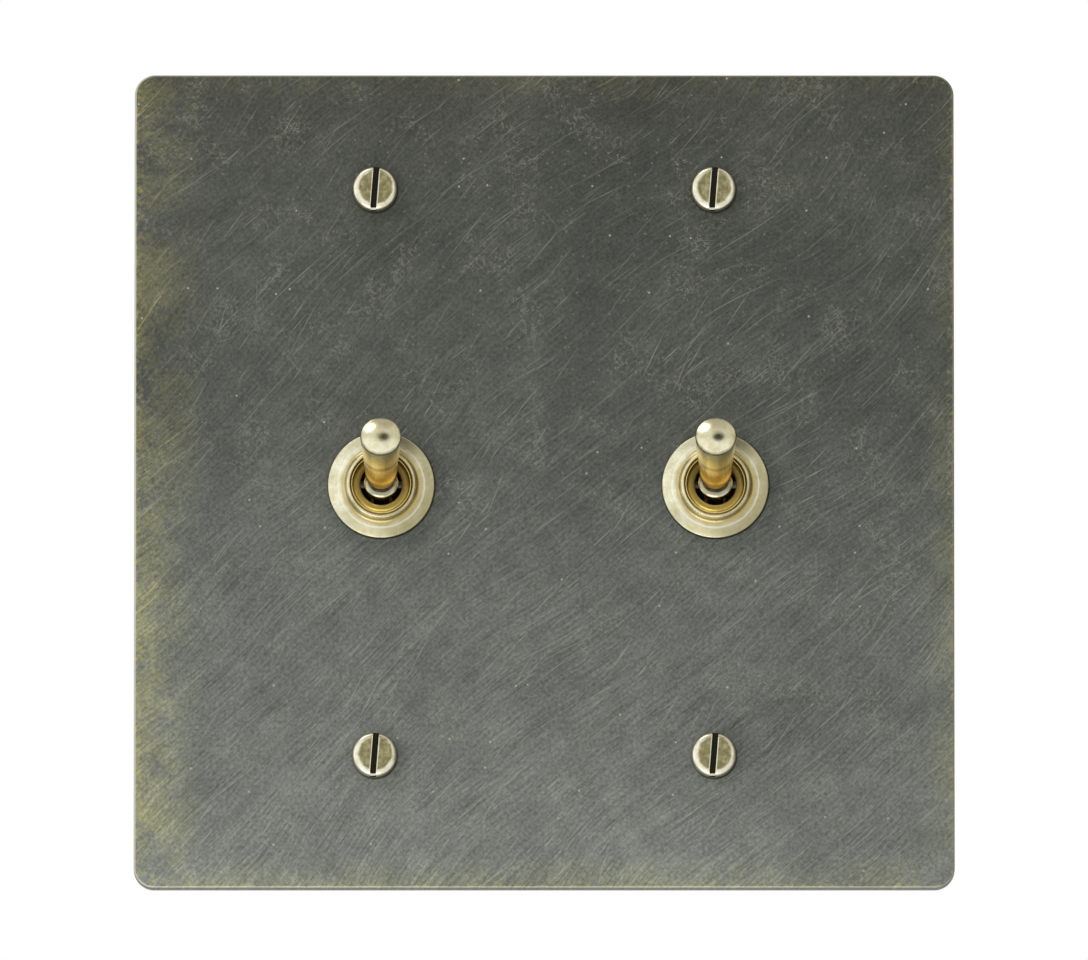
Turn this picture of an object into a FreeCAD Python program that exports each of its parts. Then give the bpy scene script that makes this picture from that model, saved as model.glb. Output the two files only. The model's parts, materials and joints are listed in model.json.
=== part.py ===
import FreeCAD, Part
import math
import os
import re
import Sketcher

V = FreeCAD.Vector

# A brass dolly switch: a square face plate with two toggle switches, held to its wall box by four screws.
# Each piece is drawn in the plate's own axes: x to the right, y up and z out of the wall, with z = 0 on
# the back of the plate. The row's frame has +Z up and +Y into the wall, so each piece is turned a
# quarter turn about X when it is placed. The origin is the middle of the four screws.

# Sizes in millimetres and degrees
SIZES = {
    # Face plate
    "plate_wide": "120",
    "plate_high": "120",
    "plate_thick": "3",
    "plate_corner": "3",
    "plate_edge_bevel": "0.4",
    "plate_drop": "1.2",
    # Screws that hold the plate to its wall box
    "screw_pitch_across": "49.6",
    "screw_pitch_up": "83.5",
    "screw_head_r": "3.25",
    "screw_head_high": "2.4",
    "screw_head_bevel": "0.42",
    "screw_slot_wide": "0.82",
    "screw_slot_deep": "1.1",
    "screw_slot_lean": "4.5",
    "screw_shank_r": "1.75",
    "screw_neck_r": "1.55",
    "screw_reach": "22",
    "screw_hole_gap": "0.25",
    # Places of the two toggles
    "toggle_pitch": "48.9",
    "toggle_shift": "0.6",
    "toggle_drop": "1.85",
    # Dress ring, the nut on the front of the plate
    "ring_r": "7.8",
    "ring_rim_high": "0.45",
    "ring_flange_high": "0.95",
    "ring_hub_r": "6.07",
    "ring_bead_r": "5.05",
    "ring_bead_high": "2.4",
    "ring_edge": "0.2",
    "ring_flank_r": "5.45",
    "ring_flank_rise": "0.4",
    "ring_thread_gap": "0.06",
    # Threaded bushing
    "bushing_r": "4.4",
    "bushing_rise": "1.95",
    "bushing_lip": "0.14",
    "mouth_deep": "0.75",
    "mouth_step_r": "3.75",
    "mouth_step_deep": "0.5",
    "bore_r": "3.07",
    "bore_straight": "4.7",
    "bore_foot_r": "4.1",
    "bushing_hole_gap": "0.2",
    "flange_r": "6.4",
    "flange_thick": "0.8",
    "spigot_r": "5.2",
    "seat_gap": "0.05",
    # Lock washer and back nut behind the plate
    "washer_r": "7.2",
    "washer_thick": "0.8",
    "washer_tooth": "1.1",
    "washer_notch": "0.9",
    "washer_teeth": "10",
    "nut_flats": "14",
    "nut_thick": "2.2",
    "thread_runout": "0.4",
    # Lever and its pivot
    "lever_tilt": "18",
    "pivot_rise": "0.2",
    "pin_r": "0.75",
    "pin_half": "4.2",
    "pin_fit": "0.01",
    "running_gap": "0.05",
    "barrel_r": "2.53",
    "barrel_top": "1.64",
    "barrel_chamfer": "0.25",
    "neck_r": "1.95",
    "neck_long": "1.3",
    "shank_start": "3.41",
    "shank_base_r": "2.24",
    "dome_edge": "16.5",
    "dome_r": "3",
    "dome_high": "0.7",
    "dome_bevel": "0.22",
    "tang_r": "1.15",
    "tang_long": "8.6",
    "well_r": "0.7",
    "well_top": "3.2",
    # Plunger and spring inside the tang
    "plunger_tip": "10",
    "plunger_r": "0.65",
    "plunger_top": "6.6",
    "spring_wire_r": "0.1",
    "spring_turns": "5",
    # Rocking contact
    "rocker_drop": "12.5",
    "rocker_tilt": "6",
    "saddle_gap": "0.12",
    "saddle_half": "4",
    "rocker_half": "7.4",
    "rocker_wide": "4",
    "rocker_thick": "0.8",
    "hub_r": "1.5",
    "rocker_pin_r": "0.8",
    "contact_place": "6.2",
    "contact_r": "1",
    "contact_high": "0.5",
    "contact_gap": "0.1",
    # Steel frame round the moulded case
    "sheet_thick": "0.8",
    "fold_round": "0.7",
    "leg_half": "8",
    "leg_gap": "0.1",
    "clench_long": "1.3",
    "insulator_thick": "0.5",
    "slot_half_long": "4.2",
    "slot_half_wide": "1.6",
    # Moulded case
    "case_side_wall": "3.2",
    "case_end_wall": "3.8",
    "case_corner": "1",
    "case_step": "1.3",
    "case_upper_deep": "6.5",
    "case_deep": "12.6",
    "case_floor": "3.5",
    "cavity_half_wide": "4.6",
    "cavity_half_high": "10",
    # Terminals on the floor and back of the case
    "strip_thick": "0.8",
    "strip_wide": "5",
    "strip_gap": "0.05",
    "pad_inner": "5",
    "lug_long": "4.6",
    "ear_gap": "0.3",
    "ear_half": "1.7",
    "ear_above": "1.5",
    "lug_screw_place": "2.7",
    "lug_screw_r": "1.25",
    "lug_screw_head_r": "1.9",
    "lug_screw_head_high": "1.3",
    "lug_screw_reach": "3.1",
    "lug_slot_wide": "0.6",
    "lug_slot_deep": "0.6",
    "lug_hole_gap": "0.15",
}
WHOLE_TURN = 360
SPRING_CORNERS = 8
WIRE_SIDES = 4
# An edge this near a height lies at it
LEVEL = 1e-4

doc = FreeCAD.newDocument("DollySwitch")
sheet = doc.addObject("Spreadsheet::Sheet", "Sizes")
for row, (name, number) in enumerate(SIZES.items(), start=1):
    sheet.set(f"A{row}", name)
    sheet.set(f"B{row}", number)
    sheet.setAlias(f"B{row}", name)
doc.recompute()

# Heights along z, from the back of the plate
PIVOT = "(plate_thick + pivot_rise)"
BUSHING_TOP = "(plate_thick + bushing_rise)"
NUT_TOP = "(-washer_thick)"
FLANGE_TOP = "(-washer_thick - nut_thick - thread_runout)"
FRAME_TOP = f"({FLANGE_TOP} - flange_thick)"
INSULATOR_TOP = f"({FRAME_TOP} - sheet_thick)"
CASE_TOP = f"({INSULATOR_TOP} - insulator_thick)"
CASE_STEP = f"({CASE_TOP} - case_upper_deep)"
CASE_BACK = f"({CASE_TOP} - case_deep)"
CAVITY_FLOOR = f"({CASE_BACK} + case_floor)"
LUG_BACK = f"({CASE_BACK} - strip_thick)"
ROCKER_AXIS = f"({PIVOT} - rocker_drop)"

# The rocking contact in its own axes, with z = 0 on its pin
SADDLE_R = "(plunger_tip + plunger_r + saddle_gap)"
SHOULDER = f"(rocker_drop - sqrt(({SADDLE_R})^2 - saddle_half^2))"
SHOULDER_UNDER = f"({SHOULDER} - rocker_thick)"
BUTTON_FACE = f"({SHOULDER_UNDER} - contact_high)"
CONTACT_LOW = (f"({BUTTON_FACE} * cos(rocker_tilt * 1 deg)"
               " - (contact_place + contact_r) * sin(rocker_tilt * 1 deg))")
FIXED_CONTACT = f"({ROCKER_AXIS} + {CONTACT_LOW} - contact_gap)"
PAD_TOP = f"({FIXED_CONTACT} - contact_high)"
LEG_PLACE = "(cavity_half_high - strip_gap)"
CASE_HALF_WIDE = "(cavity_half_wide + case_side_wall)"
CASE_HALF_HIGH = "(cavity_half_high + case_end_wall)"


def bound(text):
    """The expression with each size named as a cell of the sheet."""
    return re.sub(r"\b(" + "|".join(SIZES) + r")\b", r"Sizes.\1", text)


def value(text):
    """The number that an expression of sizes gives now."""
    return float(sheet.evalExpression(bound(text)))


def tie(thing, path, text):
    """Bind one property of an object to an expression of sizes."""
    thing.setExpression(path, bound(text))


def new_body(label):
    body = doc.addObject("PartDesign::Body", label)
    body.Label = label
    return body


def place(body, x="0", y="0", z="0", tip="0"):
    """Stand a piece in the row's frame: a quarter turn about X plus its own tip, then x, y, z."""
    body.Placement = FreeCAD.Placement(V(), FreeCAD.Rotation(V(1, 0, 0), 90 + value(tip)))
    tie(body, ".Placement.Rotation.Angle", f"90 + {tip}")
    tie(body, ".Placement.Base.x", x)
    tie(body, ".Placement.Base.y", y)
    tie(body, ".Placement.Base.z", z)


def new_sketch(body, name, plane, lift="0", turn=None):
    """An empty sketch on one of the body's own planes, lifted along that plane's normal."""
    sketch = body.newObject("Sketcher::SketchObject", f"{body.Name}_{name}")
    support = next(item for item in body.Origin.OriginFeatures if item.Role == plane)
    sketch.AttachmentSupport = [(support, "")]
    sketch.MapMode = "FlatFace"
    tie(sketch, "AttachmentOffset.Base.z", lift)
    if turn:
        sketch.AttachmentOffset = FreeCAD.Placement(V(), FreeCAD.Rotation(V(0, 0, 1), value(turn)))
        tie(sketch, "AttachmentOffset.Base.z", lift)
        tie(sketch, "AttachmentOffset.Rotation.Angle", turn)
    return sketch


def tie_constraint(sketch, kind, where, text):
    index = sketch.addConstraint(Sketcher.Constraint(kind, *where, value(text)))
    tie(sketch, f"Constraints[{index}]", text)


def add_outline(sketch, corners):
    """Close an outline through corners (x, y); a third entry bends the run that leaves the corner
    into an arc of that radius, turning left, or right where a fourth entry says so."""
    points = [V(value(corner[0]), value(corner[1]), 0) for corner in corners]
    ends = []
    for place_in_list, corner in enumerate(corners):
        start = points[place_in_list]
        stop = points[(place_in_list + 1) % len(points)]
        if len(corner) == 2:
            item = sketch.addGeometry(Part.LineSegment(start, stop), False)
            ends.append((item, 1, 2))
            continue
        radius = value(corner[2])
        left = len(corner) == 3
        chord = stop - start
        rise = math.sqrt(max(radius ** 2 - chord.Length ** 2 / 4, 0))
        side = V(-chord.y, chord.x, 0).normalize() * (rise if left else -rise)
        middle = (start + stop) * 0.5 + side
        first, last = (start, stop) if left else (stop, start)
        angles = [math.atan2(end.y - middle.y, end.x - middle.x) for end in (first, last)]
        circle = Part.Circle(middle, V(0, 0, 1), radius)
        item = sketch.addGeometry(Part.ArcOfCircle(circle, *angles), False)
        ends.append((item, 1, 2) if left else (item, 2, 1))
        tie_constraint(sketch, "Radius", (item,), corner[2])
    for place_in_list, corner in enumerate(corners):
        item, start_end, stop_end = ends[place_in_list]
        following = ends[(place_in_list + 1) % len(ends)]
        sketch.addConstraint(Sketcher.Constraint("Coincident", item, stop_end, following[0], following[1]))
        tie_constraint(sketch, "DistanceX", (-1, 1, item, start_end), corner[0])
        tie_constraint(sketch, "DistanceY", (-1, 1, item, start_end), corner[1])


def add_circle(sketch, x, y, radius):
    circle = Part.Circle(V(value(x), value(y), 0), V(0, 0, 1), value(radius))
    item = sketch.addGeometry(circle, False)
    tie_constraint(sketch, "Radius", (item,), radius)
    tie_constraint(sketch, "DistanceX", (-1, 1, item, 3), x)
    tie_constraint(sketch, "DistanceY", (-1, 1, item, 3), y)


def rectangle(low_x, low_y, high_x, high_y):
    return [(low_x, low_y), (high_x, low_y), (high_x, high_y), (low_x, high_y)]


def add_feature(body, kind, name, sketch, length=None):
    """Add one feature made from a sketch, and check that it adds or takes away material."""
    before = body.Shape.Volume if body.Tip else 0
    feature = body.newObject(f"PartDesign::{kind}", f"{body.Name}_{name}")
    feature.Profile = sketch
    if kind in ("Revolution", "Groove"):
        feature.ReferenceAxis = (sketch, ["V_Axis"])
        feature.Angle = WHOLE_TURN
    if length:
        tie(feature, "Length", length)
    doc.recompute()
    change = body.Shape.Volume - before
    adds = kind in ("Pad", "Revolution")
    if change == 0 or (change > 0) != adds:
        raise ValueError(f"{feature.Name} changes the volume by {change}")
    return feature


def revolve(body, name, corners):
    sketch = new_sketch(body, f"{name}_profile", "XZ_Plane")
    add_outline(sketch, corners)
    return add_feature(body, "Revolution", name, sketch)


def pad(body, name, plane, corners, lift, length):
    sketch = new_sketch(body, f"{name}_outline", plane, lift)
    add_outline(sketch, corners)
    return add_feature(body, "Pad", name, sketch, length)


def pad_round(body, name, plane, circles, lift, length):
    sketch = new_sketch(body, f"{name}_circles", plane, lift)
    for circle in circles:
        add_circle(sketch, *circle)
    return add_feature(body, "Pad", name, sketch, length)


def pocket(body, name, plane, corners, lift, length, turn=None):
    sketch = new_sketch(body, f"{name}_outline", plane, lift, turn)
    add_outline(sketch, corners)
    return add_feature(body, "Pocket", name, sketch, length)


def bore(body, name, plane, circles, lift, length):
    sketch = new_sketch(body, f"{name}_circles", plane, lift)
    for circle in circles:
        add_circle(sketch, *circle)
    return add_feature(body, "Pocket", name, sketch, length)


def dress(body, kind, name, size, test):
    """Fillet or chamfer each edge of the body that passes the test."""
    base = body.Tip
    edges = [f"Edge{number}" for number, edge in enumerate(base.Shape.Edges, start=1) if test(edge)]
    if not edges:
        raise ValueError(f"{name} finds no edge on {body.Name}")
    feature = body.newObject(f"PartDesign::{kind}", f"{body.Name}_{name}")
    feature.Base = (base, edges)
    tie(feature, "Radius" if kind == "Fillet" else "Size", size)
    doc.recompute()
    return feature


def at_height(edge, height):
    box = edge.BoundBox
    return abs(box.ZMin - height) < LEVEL and abs(box.ZMax - height) < LEVEL


# Face plate: one sheet of brass with an eased front edge, two bushing holes and four screw holes
def make_face_plate(toggles, screws):
    body = new_body("face_plate")
    right = "(plate_wide / 2)"
    top = "(plate_high / 2 - plate_drop)"
    low = "(-plate_high / 2 - plate_drop)"
    corners = [
        (f"-{right} + plate_corner", low),
        (f"{right} - plate_corner", low, "plate_corner"),
        (right, f"{low} + plate_corner"),
        (right, f"{top} - plate_corner", "plate_corner"),
        (f"{right} - plate_corner", top),
        (f"-{right} + plate_corner", top, "plate_corner"),
        (f"-{right}", f"{top} - plate_corner"),
        (f"-{right}", f"{low} + plate_corner", "plate_corner"),
    ]
    pad(body, "sheet", "XY_Plane", corners, "0", "plate_thick")
    front = value("plate_thick")
    dress(body, "Chamfer", "front_edge", "plate_edge_bevel", lambda edge: at_height(edge, front))
    holes = [(x, "-toggle_drop", "bushing_r + bushing_hole_gap") for _, x in toggles]
    holes += [(x, z, "screw_shank_r + screw_hole_gap") for _, x, z in screws]
    bore(body, "holes", "XY_Plane", holes, "plate_thick", "plate_thick")
    place(body)


# Box screw: brass, with a cheese head with an eased edge and one slot, a plain neck and a threaded shank
def make_box_screw(label, x, z):
    body = new_body(label)
    top = "(plate_thick + screw_head_high)"
    revolve(body, "turning", [
        ("0", "-screw_reach"),
        ("screw_shank_r", "-screw_reach"),
        ("screw_shank_r", "0"),
        ("screw_neck_r", "0"),
        ("screw_neck_r", "plate_thick"),
        ("screw_head_r", "plate_thick"),
        ("screw_head_r", f"{top} - screw_head_bevel"),
        ("screw_head_r - screw_head_bevel", top),
        ("0", top),
    ])
    reach = "(screw_head_r * 1.5)"
    slot = rectangle("-screw_slot_wide / 2", f"-{reach}", "screw_slot_wide / 2", reach)
    pocket(body, "slot", "XY_Plane", slot, top, "screw_slot_deep", turn="-screw_slot_lean")
    place(body, x=x, z=z)


# Dress ring: a turned front nut, with a flange, a sloping flank and a beaded inner edge
def make_dress_ring(side, x):
    body = new_body(f"{side}_dress_ring")
    bore_r = "(bushing_r + ring_thread_gap)"
    bead_top = "(plate_thick + ring_bead_high)"
    rim_top = "(plate_thick + ring_rim_high)"
    flange_top = "(plate_thick + ring_flange_high)"
    revolve(body, "turning", [
        (bore_r, "plate_thick"),
        ("ring_r", "plate_thick"),
        ("ring_r", rim_top),
        ("ring_r - ring_edge", f"{rim_top} + ring_edge"),
        ("ring_hub_r", flange_top),
        ("ring_flank_r", f"{flange_top} + ring_flank_rise"),
        ("ring_bead_r", f"{bead_top} - ring_edge"),
        ("ring_bead_r - ring_edge", bead_top),
        (f"{bore_r} + ring_edge", bead_top),
        (bore_r, f"{bead_top} - ring_edge"),
    ])
    place(body, x=x, z="-toggle_drop")


# Bushing: turned brass with a dished mouth, a bore that opens out below the pivot and a foot flange
def make_bushing(side, x):
    body = new_body(f"{side}_bushing")
    foot = f"({FRAME_TOP} - sheet_thick)"
    neck = f"({BUSHING_TOP} - bore_straight)"
    revolve(body, "turning", [
        ("bore_foot_r", foot),
        ("spigot_r", foot),
        ("spigot_r", FRAME_TOP),
        ("flange_r", FRAME_TOP),
        ("flange_r", FLANGE_TOP),
        ("bushing_r", FLANGE_TOP),
        ("bushing_r", BUSHING_TOP),
        ("bushing_r - bushing_lip", BUSHING_TOP),
        ("mouth_step_r", f"{BUSHING_TOP} - mouth_step_deep"),
        ("bore_r", f"{BUSHING_TOP} - mouth_deep"),
        ("bore_r", neck),
    ])
    pin_hole = [("0", PIVOT, "pin_r + pin_fit")]
    bore(body, "pin_hole", "YZ_Plane", pin_hole, "bushing_r", "2 * bushing_r")
    place(body, x=x, z="-toggle_drop")


# Pivot pin: a plain steel pin pressed through the bushing and the lever
def make_pivot_pin(side, x):
    body = new_body(f"{side}_pivot_pin")
    pad_round(body, "rod", "YZ_Plane", [("0", PIVOT, "pin_r")], "-pin_half", "2 * pin_half")
    place(body, x=x, z="-toggle_drop")


# Lever: one brass turning, from its domed end down to the tang, drilled for the pin and the plunger. Its
# barrel tapers to the tang in line with a ball about the pin, so that it swings freely in the bushing.
def make_lever(side, x):
    body = new_body(f"{side}_lever")
    dome_edge_out = "(dome_r - dome_bevel)"
    dome_edge_top = "(dome_edge + dome_bevel)"
    dome_radius = f"(({dome_edge_out}^2 + dome_high^2) / (2 * dome_high))"
    taper_foot = "(-sqrt(barrel_r^2 - tang_r^2))"
    revolve(body, "turning", [
        ("0", "-well_top"),
        ("well_r", "-well_top"),
        ("well_r", "-tang_long"),
        ("tang_r", "-tang_long"),
        ("tang_r", taper_foot),
        ("barrel_r", "0"),
        ("barrel_r", "barrel_top - barrel_chamfer"),
        ("barrel_r - barrel_chamfer", "barrel_top"),
        ("neck_r", "barrel_top"),
        ("neck_r", "barrel_top + neck_long"),
        ("shank_base_r", "shank_start"),
        ("dome_r", "dome_edge"),
        (dome_edge_out, dome_edge_top, dome_radius),
        ("0", f"{dome_edge_top} + dome_high"),
    ])
    bore(body, "pin_hole", "YZ_Plane", [("0", "0", "pin_r + running_gap")], "barrel_r", "2 * barrel_r")
    place(body, x=x, y=f"-{PIVOT}", z="-toggle_drop", tip="-lever_tilt")


# Plunger: a moulded pin with a round tip, pushed out of the tang by its spring
def make_plunger(side, x):
    body = new_body(f"{side}_plunger")
    revolve(body, "pin", [
        ("0", "-plunger_tip - plunger_r", "plunger_r"),
        ("plunger_r", "-plunger_tip"),
        ("plunger_r", "-plunger_top"),
        ("0", "-plunger_top"),
    ])
    place(body, x=x, y=f"-{PIVOT}", z="-toggle_drop", tip="-lever_tilt")


# Plunger spring: a small open coil between the end of the tang's well and the plunger
def make_spring(side, x):
    wire_r = value("spring_wire_r")
    coil_r = value("well_r - spring_wire_r - running_gap")
    turns = value("spring_turns")
    low = value("-plunger_top + spring_wire_r")
    high = value("-well_top - spring_wire_r")
    count = int(turns * SPRING_CORNERS)
    points = []
    for corner in range(count + 1):
        angle = 2 * math.pi * corner / SPRING_CORNERS
        height = low + (high - low) * corner / count
        points.append(V(coil_r * math.cos(angle), coil_r * math.sin(angle), height))
    path = Part.makePolygon(points)
    start = points[1] - points[0]
    across = V(1, 0, 0)
    up = start.cross(across).normalize()
    ring = []
    for corner in range(WIRE_SIDES + 1):
        angle = 2 * math.pi * corner / WIRE_SIDES
        ring.append(points[0] + across * (wire_r * math.cos(angle)) + up * (wire_r * math.sin(angle)))
    coil = Part.Wire(path).makePipeShell([Part.makePolygon(ring)], True, True, 1)
    spring = doc.addObject("Part::Feature", f"{side}_plunger_spring")
    spring.Label = f"{side}_plunger_spring"
    spring.Shape = coil
    place(spring, x=x, y=f"-{PIVOT}", z="-toggle_drop", tip="-lever_tilt")


# Lock washer: spring steel, with teeth that bite the bushing's side of the nut
def make_lock_washer(side, x):
    body = new_body(f"{side}_lock_washer")
    washer = [("0", "0", "washer_r"), ("0", "0", "bushing_r + bushing_hole_gap")]
    pad_round(body, "ring", "XY_Plane", washer, "-washer_thick", "washer_thick")
    inner = "(bushing_r + bushing_hole_gap)"
    notch = rectangle(f"{inner} * 0.8", "-washer_notch / 2", f"{inner} + washer_tooth", "washer_notch / 2")
    first = pocket(body, "notch", "XY_Plane", notch, "0", "washer_thick")
    teeth = body.newObject("PartDesign::PolarPattern", f"{body.Name}_teeth")
    teeth.Originals = [first]
    teeth.Axis = (first.Profile[0], ["N_Axis"])
    teeth.Angle = WHOLE_TURN
    tie(teeth, "Occurrences", "washer_teeth")
    body.Tip = teeth
    place(body, x=x, z="-toggle_drop")


# Back nut: a hexagon nut that pulls the bushing up against the plate
def make_back_nut(side, x):
    body = new_body(f"{side}_back_nut")
    corner_r = "(nut_flats / 2 / cos(30 * 1 deg))"
    corners = [(f"{corner_r} * cos({60 * step} * 1 deg)", f"{corner_r} * sin({60 * step} * 1 deg)")
               for step in range(6)]
    pad(body, "hexagon", "XY_Plane", corners, f"{NUT_TOP} - nut_thick", "nut_thick")
    bore(body, "thread", "XY_Plane", [("0", "0", "bushing_r + ring_thread_gap")], NUT_TOP, "nut_thick")
    place(body, x=x, z="-toggle_drop")


# Steel frame: folded sheet over the case, with two legs clenched under the step in its sides
def make_frame(side, x):
    body = new_body(f"{side}_switch_frame")
    inner = f"({CASE_HALF_WIDE} + leg_gap)"
    outer = f"({inner} + sheet_thick)"
    foot = f"({CASE_STEP} - leg_gap - sheet_thick)"
    lip_top = f"({foot} + sheet_thick)"
    lip = f"({inner} - clench_long + leg_gap)"
    profile = [
        (f"-{outer}", foot), (f"-{lip}", foot), (f"-{lip}", lip_top), (f"-{inner}", lip_top),
        (f"-{inner}", INSULATOR_TOP), (inner, INSULATOR_TOP), (inner, lip_top), (lip, lip_top),
        (lip, foot), (outer, foot), (outer, FRAME_TOP), (f"-{outer}", FRAME_TOP),
    ]
    sketch = new_sketch(body, "fold_profile", "XZ_Plane", f"-{CASE_HALF_HIGH}")
    add_outline(sketch, profile)
    add_feature(body, "Pad", "fold", sketch, f"2 * {CASE_HALF_HIGH}")
    edges_out = value(outer)
    top = value(FRAME_TOP)
    low = value(foot)

    def outer_fold(edge):
        box = edge.BoundBox
        across = abs(abs(box.XMin) - edges_out) < LEVEL and box.XLength < LEVEL
        ends = min(abs(box.ZMin - top), abs(box.ZMin - low)) < LEVEL and box.ZLength < LEVEL
        return across and ends

    dress(body, "Fillet", "folds", "fold_round", outer_fold)
    bore(body, "spigot_hole", "XY_Plane", [("0", "0", "spigot_r + seat_gap")], FRAME_TOP, "sheet_thick")
    ends = [("upper", "leg_half", CASE_HALF_HIGH), ("lower", f"-{CASE_HALF_HIGH}", "-leg_half")]
    for name, low_y, high_y in ends:
        side_cut = rectangle(low_y, f"{foot} - sheet_thick", high_y, INSULATOR_TOP)
        pocket(body, f"{name}_leg_cut", "YZ_Plane", side_cut, f"{outer} + sheet_thick",
               f"2 * ({outer} + sheet_thick)")
    place(body, x=x, z="-toggle_drop")


# Insulator: a fibre sheet that keeps the live rocker off the frame, with a slot for the tang
def make_insulator(side, x):
    body = new_body(f"{side}_insulator")
    sheet_outline = rectangle(f"-{CASE_HALF_WIDE}", f"-{CASE_HALF_HIGH}", CASE_HALF_WIDE, CASE_HALF_HIGH)
    pad(body, "sheet", "XY_Plane", sheet_outline, CASE_TOP, "insulator_thick")
    straight = "(slot_half_long - slot_half_wide)"
    slot = rectangle("-slot_half_wide", f"-{straight}", "slot_half_wide", straight)
    pocket(body, "tang_slot", "XY_Plane", slot, INSULATOR_TOP, "insulator_thick")
    for name, y in (("upper_end", straight), ("lower_end", f"-{straight}")):
        ends = [("0", y, "slot_half_wide")]
        bore(body, name, "XY_Plane", ends, INSULATOR_TOP, "insulator_thick")
    place(body, x=x, z="-toggle_drop")


# Case: a moulded block with a cavity for the rocker, slots for the terminals and blind screw holes
def make_case(side, x):
    body = new_body(f"{side}_switch_case")

    def block(half_wide, half_high):
        return [
            (f"-{half_wide} + case_corner", f"-{half_high}"),
            (f"{half_wide} - case_corner", f"-{half_high}", "case_corner"),
            (half_wide, f"-{half_high} + case_corner"),
            (half_wide, f"{half_high} - case_corner", "case_corner"),
            (f"{half_wide} - case_corner", half_high),
            (f"-{half_wide} + case_corner", half_high, "case_corner"),
            (f"-{half_wide}", f"{half_high} - case_corner"),
            (f"-{half_wide}", f"-{half_high} + case_corner", "case_corner"),
        ]

    shoulder = block(CASE_HALF_WIDE, CASE_HALF_HIGH)
    pad(body, "shoulder", "XY_Plane", shoulder, CASE_STEP, "case_upper_deep")
    base = block(f"({CASE_HALF_WIDE} - case_step)", CASE_HALF_HIGH)
    pad(body, "base", "XY_Plane", base, CASE_BACK, "case_deep - case_upper_deep")
    cavity = rectangle("-cavity_half_wide", "-cavity_half_high", "cavity_half_wide", "cavity_half_high")
    pocket(body, "cavity", "XY_Plane", cavity, CASE_TOP, f"{CASE_TOP} - {CAVITY_FLOOR}")
    leg_half_wide = "(strip_wide / 2 + strip_gap)"
    slot_inner = f"({LEG_PLACE} - strip_thick - strip_gap)"
    middle = "(strip_thick / 2 + strip_gap)"
    slots = [
        ("upper_slot", slot_inner, "cavity_half_high"),
        ("common_slot", f"-{middle}", middle),
        ("lower_slot", "-cavity_half_high", f"-{slot_inner}"),
    ]
    for name, low_y, high_y in slots:
        outline = rectangle(f"-{leg_half_wide}", low_y, leg_half_wide, high_y)
        pocket(body, name, "XY_Plane", outline, CAVITY_FLOOR, "case_floor")
    holes = [("0", y, "lug_screw_r + lug_hole_gap") for _, y in LUG_SCREWS]
    bore(body, "screw_holes", "XY_Plane", holes,
         f"{LUG_BACK} + lug_screw_reach + lug_hole_gap", "lug_screw_reach + lug_hole_gap - strip_thick")
    place(body, x=x, z="-toggle_drop")


# Rocker: a stamped copper strip with a saddle for the plunger, a hub on its pin and two contact buttons
def make_rocker(side, x):
    body = new_body(f"{side}_rocker")
    under_r = f"({SADDLE_R} + rocker_thick)"
    under_half = f"sqrt({under_r}^2 - (rocker_drop - {SHOULDER_UNDER})^2)"
    strip = [
        ("-rocker_half", SHOULDER_UNDER),
        (f"-{under_half}", SHOULDER_UNDER, under_r),
        (under_half, SHOULDER_UNDER),
        ("rocker_half", SHOULDER_UNDER),
        ("rocker_half", SHOULDER),
        ("saddle_half", SHOULDER, SADDLE_R, "right"),
        ("-saddle_half", SHOULDER),
        ("-rocker_half", SHOULDER),
    ]
    pad(body, "strip", "YZ_Plane", strip, "-rocker_wide / 2", "rocker_wide")
    pad_round(body, "hub", "YZ_Plane", [("0", "0", "hub_r")], "-rocker_wide / 2", "rocker_wide")
    pin_hole = [("0", "0", "rocker_pin_r + running_gap")]
    bore(body, "pin_hole", "YZ_Plane", pin_hole, "rocker_wide / 2", "rocker_wide")
    buttons = [("0", "-contact_place", "contact_r"), ("0", "contact_place", "contact_r")]
    pad_round(body, "buttons", "XY_Plane", buttons, BUTTON_FACE, "contact_high")
    place(body, x=x, y=f"-{ROCKER_AXIS}", z="-toggle_drop", tip="rocker_tilt")


# Rocker pin: a plain pin held by the two ears of the common terminal
def make_rocker_pin(side, x):
    body = new_body(f"{side}_rocker_pin")
    half = "(rocker_wide / 2 + ear_gap + strip_thick)"
    pad_round(body, "rod", "YZ_Plane", [("0", ROCKER_AXIS, "rocker_pin_r")], f"-{half}", f"2 * {half}")
    place(body, x=x, z="-toggle_drop")


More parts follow.
